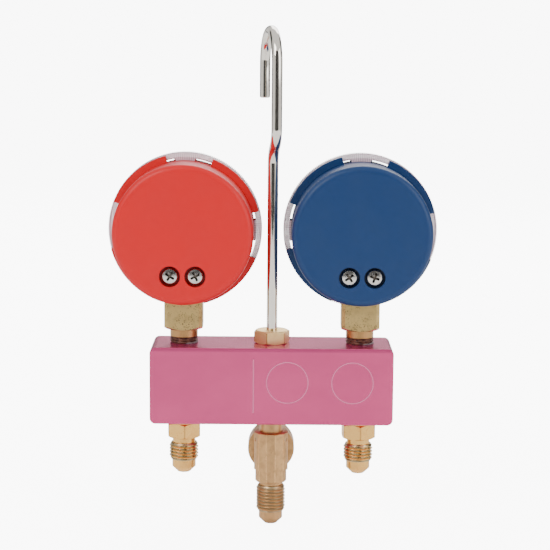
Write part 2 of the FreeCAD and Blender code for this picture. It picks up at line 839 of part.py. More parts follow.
def bourdon_tube():
    """The flattened C-shaped tube, from the socket round to its closed tip."""
    width = tube_tip_angle - tube_root_angle
    middle = (tube_tip_angle + tube_root_angle) / 2
    low = tube_centre_y - tube_width / 2
    high = tube_centre_y + tube_width / 2
    half = tube_thickness / 2
    ring = pipe("y", tube_radius + half, tube_radius - half, low, high)
    gap = ring_sector(tube_radius + tube_width, tube_radius - tube_width, middle + 180, 360 - width, low, high)
    body = ring.cut(gap)
    rims = [e for e in body.Edges if e.BoundBox.YLength < 0.01 and e.BoundBox.XLength > tube_radius]
    return body.makeChamfer(tube_edge_chamfer, rims)


def gauge_socket():
    """The square stem with its threaded neck below and the wide head inside the case."""
    half = stem_square / 2
    shoulder = -gauge_height + stem_shoulder_height
    stem = slab((-half, half), (-half, half), (shoulder, -socket_bottom_drop))
    edges = [e for e in stem.Edges if e.BoundBox.ZLength > 1]
    stem = stem.makeChamfer(stem_corner_chamfer, edges)
    flat = half * nut_flat_share
    corner = half * math.sqrt(2)
    rise = (corner - flat) * math.tan(math.radians(stem_chamfer_angle))
    top = -socket_bottom_drop
    cone = turned("z", [(0, shoulder), (flat, shoulder), (corner, shoulder + rise), (corner, top), (0, top)])
    stem = stem.common(cone)
    wide = (-socket_half_width, socket_half_width)
    head = slab(wide, (-half, socket_front_y), (-socket_bottom_drop, -socket_top_drop))
    neck = turned("z", [
        (0, -gauge_height - shank_length),
        (stem_neck_radius, -gauge_height - shank_length),
        (stem_neck_radius, shoulder - stem_band_length),
        (stem_band_radius, shoulder - stem_band_length),
        (stem_band_radius, shoulder),
        (0, shoulder),
    ])
    body = joined([stem, head, neck])
    bore_top = -socket_bottom_drop - stem_bore_radius
    bore = rod("z", stem_bore_radius, -gauge_height - shank_length, bore_top)
    riser = rod("z", socket_port_radius, bore_top - stem_bore_radius, -tube_root_drop, (0, socket_riser_y, 0))
    port_at = (0, socket_port_y, -tube_root_drop)
    port = rod("x", socket_port_radius, 0, socket_half_width - tube_root_depth, port_at)
    body = body.cut(bore).cut(riser).cut(port)
    low = tube_centre_y - tube_width / 2 - seat_clearance
    high = tube_centre_y + tube_width / 2 + seat_clearance
    reach = tube_thickness / 2 + seat_clearance
    pocket = ring_sector(tube_radius + reach, tube_radius - reach, tube_root_angle + socket_pocket_angle / 2,
                         socket_pocket_angle, low, high)
    body = body.cut(pocket)
    tapped = screw_radius + thread_clearance
    tip = case_back_y + screw_recess_depth + screw_length
    for x, z in case_screw_places():
        body = body.cut(rod("y", tapped, -half, tip + thread_clearance, (x, 0, z)))
    tapped = movement_screw_radius + thread_clearance
    for way in (-1, 1):
        at = (way * movement_screw_x, 0, movement_screw_z)
        body = body.cut(rod("y", tapped, socket_front_y - movement_screw_length, socket_front_y, at))
    return body


def link_places():
    """The (x, z) places of the sector's pivot, its tail pin and the pin on the tube's tip."""
    pivot = polar(gear_centres, sector_pivot_angle)
    tail = polar(sector_tail_length, sector_tail_angle, pivot)
    tip = polar(tube_radius - tip_pin_inset, tube_tip_angle + math.degrees(tip_length / tube_radius) / 2)
    return pivot, tail, tip


def tube_tip():
    """The cap on the tube's free end, with the lug and pin that carry the link."""
    low = tube_centre_y - tube_width / 2
    high = tube_centre_y + tube_width / 2
    half = tube_thickness / 2
    angle = math.degrees(tip_length / tube_radius)
    cap = ring_sector(tube_radius + half, tube_radius - half, tube_tip_angle + angle / 2, angle, low, high)
    pivot, tail, tip = link_places()
    wide = tip_lug_half_width
    end = polar(tube_radius, tube_tip_angle + angle / 2)
    post = rod("y", wide, tip_lug_back_y, sector_front_y, (tip[0], 0, tip[1]))
    arm = plate_y([(end[0], end[1] - wide / 2), (tip[0], tip[1] - wide), (tip[0], tip[1] + wide),
                   (end[0], end[1] + wide)], tip_lug_back_y, high)
    pin = rod("y", tip_pin_radius, sector_front_y, link_front_y + link_gap, (tip[0], 0, tip[1]))
    return joined([cap, arm, post, pin])


def involute(angle):
    """The involute function of an angle in radians."""
    return math.tan(angle) - angle


def tooth(count, middle, addendum, centre):
    """One involute tooth's (x, z) corners about a centre, its middle at an angle in degrees."""
    pitch = gear_module * count / 2
    pressure = math.radians(pressure_angle)
    base = pitch * math.cos(pressure)
    root = pitch - dedendum_share * gear_module
    radii = [root, max(root, base), (max(root, base) + pitch) / 2, pitch, pitch + addendum]
    half_at_pitch = math.pi / (2 * count) - gear_backlash / (4 * pitch)
    sides_out = []
    for radius in radii:
        at = math.acos(min(1.0, base / radius))
        sides_out.append((radius, math.degrees(half_at_pitch + involute(pressure) - involute(at))))
    if radii[0] == radii[1]:
        sides_out = sides_out[1:]
    rising = [polar(r, middle - half, centre) for r, half in sides_out]
    falling = [polar(r, middle + half, centre) for r, half in reversed(sides_out)]
    return rising + falling


def pinion():
    """The pointer's arbor with its twelve-tooth pinion."""
    step = 360 / pinion_teeth
    corners = []
    for i in range(pinion_teeth):
        corners += tooth(pinion_teeth, sector_pivot_angle + (i + 0.5) * step, gear_module, (0.0, 0.0))
    gear = plate_y(corners, pinion_back_y, pinion_front_y)
    back = rear_plate_front_y + arbor_end_play
    return joined([
        gear,
        rod("y", arbor_radius, back, pointer_front_y),
        rod("y", pivot_radius, socket_front_y + arbor_end_play, back),
    ])


def sector_gear(below_zero):
    """The toothed sector on its arbor, with a window and a tail whose pin pulls it round."""
    pivot, tail, tip = link_places()
    step = 360 / sector_full_teeth
    first = -math.ceil(below_zero / gear_ratio / step) - sector_margin_teeth
    last = math.ceil((pointer_travel_angle - below_zero) / gear_ratio / step) + sector_margin_teeth
    facing = sector_pivot_angle - 180
    corners = []
    for i in range(first, last + 1):
        corners += tooth(sector_full_teeth, facing + i * step, sector_addendum_share * gear_module, pivot)
    start = facing + (first - 0.5) * step
    end = facing + (last + 0.5) * step
    root = sector_pitch_radius - dedendum_share * gear_module
    outline = [polar(root, start, pivot)] + corners + [polar(root, end, pivot)]
    outline += [polar(sector_hub_radius, end + 60, pivot), polar(sector_hub_radius, start - 60, pivot)]
    high = sector_front_y
    blade = plate_y(outline, sector_y, high)
    inset = sector_window_inset
    middle = (start + end) / 2
    window = ring_sector(root - inset, sector_hub_radius + inset, middle,
                         (end - start) - 2 * math.degrees(inset / (root - inset)), sector_y, high)
    blade = blade.cut(moved(window, x=pivot[0], z=pivot[1]))
    across = sector_tail_angle + 90
    bar = plate_y([
        polar(sector_tail_radius, across, pivot),
        polar(sector_tail_radius, across, tail),
        polar(sector_tail_radius, across + 180, tail),
        polar(sector_tail_radius, across + 180, pivot),
    ], sector_y, high)
    back = rear_plate_front_y + arbor_end_play
    front = front_plate_y - arbor_end_play
    pivot_back = socket_front_y + arbor_end_play
    pivot_front = front_plate_y + plate_thickness - arbor_end_play
    at = (pivot[0], 0, pivot[1])
    return joined([
        blade,
        rod("y", sector_hub_radius, sector_y, high, at),
        bar,
        rod("y", sector_tail_radius, sector_y, high, (tail[0], 0, tail[1])),
        rod("y", tail_pin_radius, high, link_front_y + link_gap, (tail[0], 0, tail[1])),
        rod("y", arbor_radius, back, front, at),
        rod("y", pivot_radius, pivot_back, pivot_front, at),
    ])


def link():
    """The flat link: a round eye on the sector's tail pin and a slotted eye on the tube's tip pin."""
    pivot, tail, tip = link_places()
    link_length = math.dist(tail, tip)
    link_angle = math.degrees(math.atan2(tip[1] - tail[1], tip[0] - tail[0]))
    low = link_y
    high = link_front_y
    slot_half = tip_pin_radius + link_slot_side
    wall_half = slot_half + link_slot_wall
    slot_start = link_length - link_slot_length
    slot_end = link_length + link_slot_side
    strip = slab((0, slot_start), (low, high), (-link_half_width, link_half_width))
    frame_body = slab((slot_start, slot_end), (low, high), (-wall_half, wall_half))
    made = joined([
        rod("y", link_eye_radius, low, high),
        strip,
        frame_body,
        rod("y", wall_half, low, high, (slot_start, 0, 0)),
        rod("y", wall_half, low, high, (slot_end, 0, 0)),
    ])
    made = made.cut(rod("y", tail_pin_radius + pivot_clearance, low, high))
    slot = joined([
        slab((slot_start, slot_end), (low, high), (-slot_half, slot_half)),
        rod("y", slot_half, low, high, (slot_start, 0, 0)),
        rod("y", slot_half, low, high, (slot_end, 0, 0)),
    ])
    made = turned_on_y(made.cut(slot), link_angle)
    return moved(made, x=tail[0], z=tail[1])


def movement_plate(low):
    """One movement plate's outline as a solid, before its holes."""
    half = plate_half_width
    corner = plate_corner
    return plate_y([
        (-half, plate_bottom + corner),
        (-half + corner, plate_bottom),
        (half - corner, plate_bottom),
        (half, plate_bottom + corner),
        (half, plate_top - corner),
        (half - corner, plate_top),
        (-half + corner, plate_top),
        (-half, plate_top - corner),
    ], low, low + plate_thickness)


def pillar_places():
    """The (x, z) places of the two pillars between the movement plates."""
    return [(pillar_side, pillar_low), (pillar_side, pillar_high)]


def hairspring_ring(index):
    """One half turn of the hairspring: its radius, centre and whether it bends through +Z."""
    radius = hairspring_inner + index * hairspring_pitch / 2
    up = index % 2 == 0
    shift = -hairspring_pitch / 4 if up else hairspring_pitch / 4
    return radius, shift, up


def hairspring_end():
    """The (x, z) place of the hairspring's outer end."""
    radius, shift, up = hairspring_ring(hairspring_half_turns - 1)
    return (shift + radius, 0.0) if not up else (shift - radius, 0.0)


def hairspring():
    """The flat spiral that takes up the gears' play, made of half turns on two centres."""
    low = hairspring_y
    high = low + hairspring_width
    half = hairspring_strip / 2
    turns = []
    for index in range(hairspring_half_turns):
        radius, shift, up = hairspring_ring(index)
        middle = 90 if up else 270
        turn = ring_sector(radius + half, radius - half, middle, 180, low, high)
        turns.append(moved(turn, x=shift))
    made = joined(turns)
    x, z = hairspring_end()
    return made.cut(rod("y", hairspring_stud_radius, low, high, (x, 0, z)))


def rear_plate():
    """The plate on the socket that carries both gears' rear pivots."""
    pivot, tail, tip = link_places()
    plate = movement_plate(socket_front_y)
    high = rear_plate_front_y
    hole = pivot_radius + pivot_clearance
    plate = plate.cut(rod("y", hole, socket_front_y, high))
    plate = plate.cut(rod("y", hole, socket_front_y, high, (pivot[0], 0, pivot[1])))
    for way in (-1, 1):
        at = (way * movement_screw_x, 0, movement_screw_z)
        plate = plate.cut(rod("y", movement_screw_radius + thread_clearance, socket_front_y, high, at))
    return plate


def front_plate():
    """The plate that carries the front pivots, with its two pillars and the hairspring's stud."""
    pivot, tail, tip = link_places()
    plate = movement_plate(front_plate_y)
    high = front_plate_y + plate_thickness
    plate = plate.cut(rod("y", arbor_radius + pivot_clearance, front_plate_y, high))
    hole = pivot_radius + pivot_clearance
    plate = plate.cut(rod("y", hole, front_plate_y, high, (pivot[0], 0, pivot[1])))
    pillars = []
    for x, z in pillar_places():
        pillars.append(rod("y", pillar_radius, rear_plate_front_y, front_plate_y, (x, 0, z)))
    x, z = hairspring_end()
    pillars.append(rod("y", hairspring_stud_radius, hairspring_y, front_plate_y, (x, 0, z)))
    return joined([plate] + pillars)


def movement_screws():
    """Two cheese-head screws that hold the rear plate on the socket."""
    screws = []
    low = rear_plate_front_y
    for way in (-1, 1):
        at = (way * movement_screw_x, 0, movement_screw_z)
        screws.append(joined([
            rod("y", movement_screw_head_radius, low, low + movement_screw_head_length, at),
            rod("y", movement_screw_radius, socket_front_y - movement_screw_length + seat_clearance, low, at),
        ]))
    return Part.makeCompound(screws)


def dial():
    """The dial plate with its stop pin just before the scale's first mark."""
    top = dial_front_y
    plate = pipe("y", dial_radius, dial_hole_radius, dial_y, top)
    for x, z in dial_post_places():
        plate = plate.cut(rod("y", dial_screw_radius + thread_clearance, dial_y, top, (x, 0, z)))
    x, z = polar(stop_pin_offset, stop_pin_angle)
    return joined([plate, rod("y", stop_pin_radius, dial_y, top + stop_pin_length, (x, 0, z))])


def dial_screws():
    """Two small screws that hold the dial on the case's posts."""
    top = dial_front_y
    screws = []
    for x, z in dial_post_places():
        screws.append(joined([
            rod("y", dial_screw_head_radius, top, top + dial_screw_head_length, (x, 0, z)),
            rod("y", dial_screw_radius, dial_y - dial_screw_length + seat_clearance, top, (x, 0, z)),
        ]))
    return Part.makeCompound(screws)


def pointer(angle):
    """The pointer at an angle on the dial: a tapered blade, a counterweight tail and a hub on the arbor."""
    low = pointer_y
    high = low + pointer_thickness
    blade = plate_y([
        (0, -pointer_root_half_width),
        (pointer_reach, -pointer_tip_half_width),
        (pointer_reach, pointer_tip_half_width),
        (0, pointer_root_half_width),
        (-pointer_tail, pointer_tail_half_width),
        (-pointer_tail, -pointer_tail_half_width),
    ], low, high)
    hub = rod("y", pointer_hub_radius, low, pointer_front_y)
    made = joined([blade, hub]).cut(rod("y", arbor_radius, low, pointer_front_y))
    return turned_on_y(made, angle)


def case_screws():
    """Two pan-head screws that hold the case on the socket."""
    floor = case_back_y + screw_recess_depth
    screws = []
    for x, z in case_screw_places():
        screws.append(joined([
            rod("y", screw_head_radius, floor - screw_head_length, floor, (x, 0, z)),
            rod("y", screw_radius, floor, floor + screw_length, (x, 0, z)),
        ]))
    return Part.makeCompound(screws)


def gauge_parts(below_zero):
    """The pieces of one gauge, about its own centre. The pointer stands at no pressure."""
    return {
        "case": gauge_case(),
        "cover": gauge_cover(),
        "cover_gasket": cover_gasket(),
        "socket": gauge_socket(),
        "bourdon_tube": bourdon_tube(),
        "tube_tip": tube_tip(),
        "link": link(),
        "sector_gear": sector_gear(below_zero),
        "pinion": pinion(),
        "hairspring": hairspring(),
        "rear_plate": rear_plate(),
        "front_plate": front_plate(),
        "movement_screws": movement_screws(),
        "dial": dial(),
        "dial_screws": dial_screws(),
        "pointer": pointer(scale_start_angle + below_zero),
        "case_screws": case_screws(),
    }


def main():
    """Build every piece and write one file for each."""
    gasket, glass, ring = sight_glass_parts()
    nodes = {
        "manifold_block": manifold_block(),
        "passage_plugs": passage_plugs(),
        "hook_nut": hook_nut(),
        "hanging_hook": hanging_hook(),
        "centre_fitting": centre_fitting(),
        "sight_glass_gasket": gasket,
        "sight_glass": glass,
        "sight_glass_ring": ring,
    }
    for name, side in sides.items():
        nodes[name + "_hose_fitting"] = side_hose_fitting(side)
        for piece, shape in valve_parts(side).items():
            nodes[name + "_valve_" + piece] = shape
        below_zero = low_vacuum_angle if name == "low" else 0.0
        for piece, shape in gauge_parts(below_zero).items():
            nodes[name + "_gauge_" + piece] = moved(shape, x=side * port_x, z=gauge_z)
    os.makedirs("parts", exist_ok=True)
    for name, shape in nodes.items():
        shape.exportStep("parts/" + name + ".step")


main()
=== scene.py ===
"""Looks for a two-gauge refrigerant manifold: finishes, threads, screws, dials and a plain studio."""

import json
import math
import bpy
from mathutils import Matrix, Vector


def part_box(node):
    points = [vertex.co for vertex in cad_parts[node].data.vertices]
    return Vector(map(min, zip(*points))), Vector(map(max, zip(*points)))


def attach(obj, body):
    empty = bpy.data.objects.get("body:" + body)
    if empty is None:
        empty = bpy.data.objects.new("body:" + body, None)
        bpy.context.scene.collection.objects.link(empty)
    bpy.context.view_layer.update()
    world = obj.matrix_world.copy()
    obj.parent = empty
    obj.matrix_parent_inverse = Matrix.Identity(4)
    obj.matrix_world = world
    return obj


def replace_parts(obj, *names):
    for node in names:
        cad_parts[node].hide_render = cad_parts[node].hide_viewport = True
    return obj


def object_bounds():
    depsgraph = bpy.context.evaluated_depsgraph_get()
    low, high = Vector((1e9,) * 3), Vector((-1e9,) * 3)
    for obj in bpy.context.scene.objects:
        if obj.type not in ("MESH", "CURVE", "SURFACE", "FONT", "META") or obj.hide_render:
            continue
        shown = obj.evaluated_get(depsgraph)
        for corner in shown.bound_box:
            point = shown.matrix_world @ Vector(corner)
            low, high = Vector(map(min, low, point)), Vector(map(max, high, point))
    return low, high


bl_info = {
    "name": "Manifold Gauge Looks",
    "version": (1, 0, 0),
    "blender": (4, 5, 0),
    "location": "3D View > Sidebar > Manifold",
    "description": "Dresses the solids of a two-gauge refrigerant manifold and lights them",
    "category": "Object",
}

import bmesh
import bpy
from bpy.props import FloatProperty, FloatVectorProperty, IntProperty, PointerProperty
from mathutils import Matrix, Vector

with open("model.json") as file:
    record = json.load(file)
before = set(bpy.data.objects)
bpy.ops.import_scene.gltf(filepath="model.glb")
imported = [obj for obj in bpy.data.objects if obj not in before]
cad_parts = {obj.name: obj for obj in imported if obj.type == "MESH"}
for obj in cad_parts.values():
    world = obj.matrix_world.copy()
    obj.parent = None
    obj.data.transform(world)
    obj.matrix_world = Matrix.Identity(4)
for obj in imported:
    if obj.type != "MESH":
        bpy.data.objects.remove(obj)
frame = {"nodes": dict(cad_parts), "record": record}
cad_low, cad_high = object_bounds()

MM = 0.001
SIDES = {"high": -1, "low": 1}
NODES = frame["nodes"]
RECORD = frame["record"]
SLOT_OF = {row["node"]: row["material_slot"] for row in RECORD["subparts"]}
ROOT = "root"


def middle(node):
    """The middle of a CAD node's box."""
    low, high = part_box(node)
    return (low + high) / 2


def mount_place(name):
    """Where a mount of the record lies."""
    rows = [row for row in RECORD["mounts"] if row["name"] == name]
    return Vector(rows[0]["pos_m"])


def flare_places():
    """For each hose fitting, its node, its port's place and the height of its tip."""
    for node, mount in FLARE_MOUNTS.items():
        yield node, mount_place(mount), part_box(node)[0].z


def driven_screws():
    """For each case and lever screw: x, z, the head's radius, its outer face's y and the way in, 1 or -1."""
    for side in SIDES:
        low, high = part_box(side + "_gauge_case_screws")
        radius = (high.z - low.z) / 2
        for x in (low.x + radius, high.x - radius):
            yield x, (low.z + high.z) / 2, radius, low.y, 1
        low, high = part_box(side + "_valve_lever_screw")
        yield (low.x + high.x) / 2, (low.z + high.z) / 2, (high.z - low.z) / 2, high.y, -1


FLARE_MOUNTS = {"centre_fitting": "centre_port", "high_hose_fitting": "high_side_port",
                "low_hose_fitting": "low_side_port"}
THREAD_LENGTHS = {"centre_fitting": 10.1 * MM, "high_hose_fitting": 6.6 * MM, "low_hose_fitting": 6.6 * MM}
HEXAGON_FLATS = 12.0 * MM
BLOCK_LOW, BLOCK_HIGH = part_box("manifold_block")
GAUGE_CENTRES = {side: middle(side + "_gauge_dial") for side in SIDES}
DIAL_THICKNESS, PRINT_GAP = 0.6 * MM, 0.005 * MM
DIAL_FACE_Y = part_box("low_gauge_dial")[0].y + DIAL_THICKNESS + PRINT_GAP
COVER_LOW, COVER_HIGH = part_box("low_gauge_cover")
COVER_RADIUS = (COVER_HIGH.x - COVER_LOW.x) / 2
COVER_MIDDLE = (COVER_LOW + COVER_HIGH) / 2


class Value:
    """One socket of a node tree, with arithmetic that adds Math nodes."""

    def __init__(self, tree, socket):
        self.tree = tree
        self.socket = socket

    def math(self, operation, *others):
        """A Math node on this value and the others."""
        inputs = dict(enumerate((self,) + others))
        node = add_node(self.tree, "ShaderNodeMath", {"operation": operation}, inputs)
        return Value(self.tree, node.outputs[0])

    def __add__(self, other):
        return self.math("ADD", other)

    def __sub__(self, other):
        return self.math("SUBTRACT", other)

    def __rsub__(self, other):
        return self * -1.0 + other

    def __mul__(self, other):
        return self.math("MULTIPLY", other)

    def __pow__(self, other):
        return self.math("POWER", other)

    __radd__ = __add__
    __rmul__ = __mul__

    def ramp(self, low, high):
        """This value spread from 0 at low to 1 at high, and held beyond them."""
        settings = {"interpolation_type": "SMOOTHSTEP"}
        inputs = {0: self, 1: low, 2: high}
        node = add_node(self.tree, "ShaderNodeMapRange", settings, inputs)
        return Value(self.tree, node.outputs[0])

    def between(self, start, low, high, end):
        """1 from low to high, falling to 0 at start and at end."""
        return self.ramp(start, low) * (1.0 - self.ramp(high, end))


def add_node(tree, kind, settings=None, inputs=None):
    """A node of a kind with its settings, and its inputs as plain values, sockets or Values."""
    node = tree.nodes.new(kind)
    for name, value in (settings or {}).items():
        setattr(node, name, value)
    for key, value in (inputs or {}).items():
        socket = node.inputs[key]
        if isinstance(value, Value):
            tree.links.new(value.socket, socket)
        elif isinstance(value, bpy.types.NodeSocket):
            tree.links.new(value, socket)
        else:
            socket.default_value = value
    return node


class Finish:
    """A material being made: a surface shader whose inputs are set from plain values and patterns."""

    def __init__(self, name):
        self.material = bpy.data.materials.new(name)
        self.material.use_nodes = True
        self.tree = self.material.node_tree
        self.shader = self.tree.nodes["Principled BSDF"]
        place = add_node(self.tree, "ShaderNodeTexCoord")
        self.place = Value(self.tree, place.outputs["Object"])
        apart = add_node(self.tree, "ShaderNodeSeparateXYZ", inputs={0: self.place})
        self.x, self.y, self.z = (Value(self.tree, socket) for socket in apart.outputs)

    def put(self, **inputs):
        """Sets shader inputs, named with underscores for spaces, and gives the material."""
        for name, value in inputs.items():
            socket = self.shader.inputs[name.replace("_", " ")]
            if isinstance(value, Value):
                self.tree.links.new(value.socket, socket)
            else:
                socket.default_value = value
        return self.material

    def noise(self, size, detail=3.0, stretch=(1, 1, 1), roughness=0.55):
        """Noise from 0 to 1 whose features are about size metres across, stretched along the axes."""
        scale = tuple(1 / (size * s) for s in stretch)
        spot = add_node(self.tree, "ShaderNodeVectorMath", {"operation": "MULTIPLY"},
                        {0: self.place, 1: scale})
        inputs = {"Vector": spot.outputs[0], "Scale": 1.0, "Detail": detail, "Roughness": roughness}
        node = add_node(self.tree, "ShaderNodeTexNoise", inputs=inputs)
        return Value(self.tree, node.outputs[0])

    def specks(self, size):
        """The distance from scattered points about size metres apart, from 0 to about 1."""
        inputs = {"Vector": self.place, "Scale": 1 / size}
        node = add_node(self.tree, "ShaderNodeTexVoronoi", inputs=inputs)
        return Value(self.tree, node.outputs["Distance"])

    def colours(self, factor, first, second):
        """A colour between two, each a triple or a Value."""
        colour = [c if isinstance(c, Value) else (*c, 1.0) for c in (first, second)]
        inputs = {0: factor, 6: colour[0], 7: colour[1]}
        node = add_node(self.tree, "ShaderNodeMix", {"data_type": "RGBA"}, inputs)
        return Value(self.tree, node.outputs[2])

    def reach(self, x=0.0):
        """The distance from an upright line through the middle plane at x."""
        return ((self.x - x) ** 2.0 + self.y ** 2.0) ** 0.5

    def forging_corners(self, sides):
        """1 along the corners of the centre fitting's faceted body, where wear and a painted highlight
        brighten it, 0 elsewhere.
        """
        body = self.reach().between(5.7 * MM, 5.9 * MM, 6.8 * MM, 6.9 * MM)
        below_block = 1.0 - self.z.ramp(BLOCK_LOW.z - 0.4 * MM, BLOCK_LOW.z)
        turn = self.y.math("ARCTAN2", self.x) * sides + math.pi
        return turn.math("COSINE").ramp(0.82, 0.98) * body * below_block

    def hexagon_corners(self):
        """1 along the corners of the hook nut's and the two hose fittings' hexagons, where a dark line is
        painted as a reflection, 0 elsewhere.
        """
        corner = HEXAGON_FLATS / math.sqrt(3)
        beside_block = self.z.between(BLOCK_LOW.z - 0.2 * MM, BLOCK_LOW.z,
                                      BLOCK_HIGH.z, BLOCK_HIGH.z + 0.2 * MM)
        middles = [0.0] + [at.x for node, at, tip in flare_places() if node != "centre_fitting"]
        lines = sum(self.reach(x).between(corner - 0.2 * MM, corner - 0.08 * MM,
                                          corner + 0.05 * MM, corner + 0.1 * MM) for x in middles)
        return lines * (1.0 - beside_block)

    def top_edges(self):
        """1 along the block's long upper edges, where a dark line is painted as a reflection, 0 a millimetre
        and more below them.
        """
        return (BLOCK_HIGH.z - self.z).between(0.1 * MM, 0.35 * MM, 1.0 * MM, 1.5 * MM)

    def thread_roots(self):
        """1 in the roots of the three flare threads, where shade is painted, 0 on their crests and elsewhere.
        """
        fit = bpy.context.scene.manifold_fittings
        roots = []
        for node, at, tip in flare_places():
            reach = self.reach(at.x)
            deep = 1.0 - reach.ramp(fit.thread_radius - fit.thread_depth, fit.thread_radius)
            outside = reach.ramp(fit.bore_radius + 0.5 * MM, fit.bore_radius + 0.6 * MM)
            end = at.z + THREAD_LENGTHS[node]
            roots.append(deep * outside * self.z.between(at.z - 0.1 * MM, at.z, end, end + 0.1 * MM))
        return sum(roots)

    def punch_marks(self):
        """1 in the two small dimples on the upper sides of the centre fitting, which are bumped in and
        painted darker as shade.
        """
        aside, behind, below = 5.75 * MM, 2.8 * MM, 8.0 * MM
        marks = []
        for way in SIDES.values():
            away = ((self.x - way * aside) ** 2.0 + (self.y + behind) ** 2.0
                    + (self.z - BLOCK_LOW.z + below) ** 2.0) ** 0.5
            marks.append(1.0 - away.ramp(0.4 * MM, 0.95 * MM))
        return sum(marks)

    def rib_stripes(self, count):
        """1 on the ribs round either cover and 0 between them: painted light on the ribs, painted shade
        between them.
        """
        across = self.x.math("ABSOLUTE") - COVER_MIDDLE.x
        turn = (self.z - COVER_MIDDLE.z).math("ARCTAN2", across)
        return (turn * count).math("COSINE") * 0.5 + 0.5

    def driver_recesses(self):
        """1 inside the cross recesses of the case and lever screws, where shade is painted, 0 elsewhere."""
        return sum(((self.y - face) * way_in).ramp(0.2 * MM, 0.32 * MM)
                   * (1.0 - self.away_from(x, z).ramp(0.7 * radius, 0.74 * radius))
                   for x, z, radius, face, way_in in driven_screws())

    def away_from(self, x, z):
        """The distance from a line along Y."""
        return ((self.x - x) ** 2.0 + (self.z - z) ** 2.0) ** 0.5

    def screw_recesses(self):
        """1 in the recesses round the case screws, where shade is painted, 0 elsewhere."""
        inside = sum(1.0 - self.away_from(x, z).ramp(radius + 0.95 * MM, radius + 1.1 * MM)
                     for x, z, radius, face, way_in in driven_screws() if way_in > 0)
        return inside * self.y.ramp(BLOCK_LOW.y + 0.1 * MM, BLOCK_LOW.y + 0.9 * MM)

    def bump(self, height, depth, after=None):
        """A bumped normal: height from 0 to 1 stands depth metres high."""
        inputs = {"Strength": 1.0, "Distance": depth, "Height": height}
        if after is not None:
            inputs["Normal"] = after
        node = add_node(self.tree, "ShaderNodeBump", inputs=inputs)
        return Value(self.tree, node.outputs[0])


def times(colour, factor, lift=0.0):
    """A colour made darker or brighter."""
    return tuple(min(1.0, c * factor + lift) for c in colour)


def anodised_pink(look):
    """Satin anodised aluminium: fine brushing along the block, a cloudy dye and a painted dark reflection
    along the top edges.
    """
    made = Finish("anodised_pink")
    cloud = made.noise(22 * MM, 3.0, (1.6, 1, 0.8)).ramp(0.35, 0.7)
    brush = made.noise(0.25 * MM, 4.0, (60, 1, 1))
    grain = made.noise(0.12 * MM, 2.0)
    face = made.colours(cloud * 0.5 + brush * 0.08, look.anodised, times(look.anodised, 0.82))
    return made.put(
        # Painted reflection: a dark magenta line along the block's top edges.
        Base_Color=made.colours(made.top_edges() * 0.6, face, (0.36, 0.04, 0.13)),
        Metallic=0.72,
        Roughness=0.21 + brush * 0.06,
        Normal=made.bump(brush * 0.6 + grain * 0.4, 0.0022 * MM))


def turned_brass(look):
    """Bright turned brass with tool marks round the axis and slight warm staining, and painted light: a
    brighter hook nut, dark reflection lines on the hexagon corners and shade in the thread roots.
    """
    made = Finish("turned_brass")
    warm = tuple(c * share for c, share in zip(look.brass, (0.97, 0.86, 0.78)))
    stain = made.noise(3.2 * MM, 4.0).ramp(0.4, 0.72)
    marks = made.noise(0.14 * MM, 3.0, (30, 30, 1))
    # Painted light: above the block's top, on the hook nut, the brass is paler and brighter.
    nut = made.z.ramp(BLOCK_HIGH.z - 0.5 * MM, BLOCK_HIGH.z)
    skin = made.colours(stain * (0.6 - nut * 0.4), made.colours(nut, look.brass, (1.0, 0.74, 0.35)), warm)
    # Painted reflection: a dark brown line along the hexagons' corners.
    edged = made.colours(made.hexagon_corners() * 0.75, skin, (0.5, 0.24, 0.07))
    return made.put(
        # Painted shade: the thread roots darker and greyer.
        Base_Color=made.colours(made.thread_roots() * 0.85, edged, (0.4, 0.37, 0.25)),
        Metallic=1.0,
        Roughness=0.17 + marks * 0.12 + stain * 0.08 + nut * 0.16,
        Normal=made.bump(marks, 0.008 * MM))


def forged_brass(look):
    """Dull forged and blasted brass: fine grain, dark specks, a few pits, corners brightened by wear and a
    painted highlight, and painted shade in the dimples and thread roots.
    """
    made = Finish("forged_brass")
    cloud = made.noise(2.6 * MM, 4.0).ramp(0.38, 0.72)
    grain = made.noise(0.22 * MM, 3.0)
    pits = 1.0 - made.specks(1.9 * MM).ramp(0.05, 0.2)
    # Partly edge wear, partly a painted highlight: the facet corners brighter and smoother.
    worn = made.forging_corners(look.body_sides) * made.noise(2.2 * MM).ramp(0.3, 0.55)
    # Painted shade: the two punched dimples are also darker.
    dents_and_painted_shade = made.punch_marks()
    skin = made.colours(cloud * 0.45 + pits * 0.4 + dents_and_painted_shade * 0.5, look.forged, times(look.forged, 0.55))
    bright = made.colours(worn * 0.6, skin, times(look.forged, 1.4))
    return made.put(
        # Painted shade: the thread roots darker and greyer.
        Base_Color=made.colours(made.thread_roots() * 0.65, bright, (0.36, 0.33, 0.22)),
        Metallic=0.9,
        Roughness=0.29 + grain * 0.12 + cloud * 0.1 - worn * 0.1,
        Normal=made.bump(dents_and_painted_shade, -0.35 * MM, made.bump(grain - pits * 0.8, 0.022 * MM)))


def stem_brass(look):
    """The gauge stems' mill-finished brass: yellow, dull and speckled."""
    made = Finish("stem_brass")
    cloud = made.noise(3.5 * MM, 4.0).ramp(0.4, 0.75)
    patches = made.noise(5 * MM, 2.0).ramp(0.38, 0.52)
    band_top = BLOCK_HIGH.z + 5.3 * MM
    band = 1.0 - made.z.ramp(band_top, band_top + 0.2 * MM)
    specks = (1.0 - made.specks(0.62 * MM).ramp(0.18, 0.42)) * patches * (1.0 - band)
    draw = made.noise(0.2 * MM, 3.0, (1, 1, 14))
    skin = made.colours(cloud * 0.3 + specks * 0.7, look.stem, times(look.stem, 0.2))
    return made.put(
        Base_Color=made.colours(band, skin, (0.5, 0.28, 0.11)),
        Metallic=0.92 + band * 0.08,
        Roughness=0.34 + draw * 0.14 + specks * 0.2 - band * 0.1,
        Normal=made.bump(draw * 0.6 - specks, 0.012 * MM))


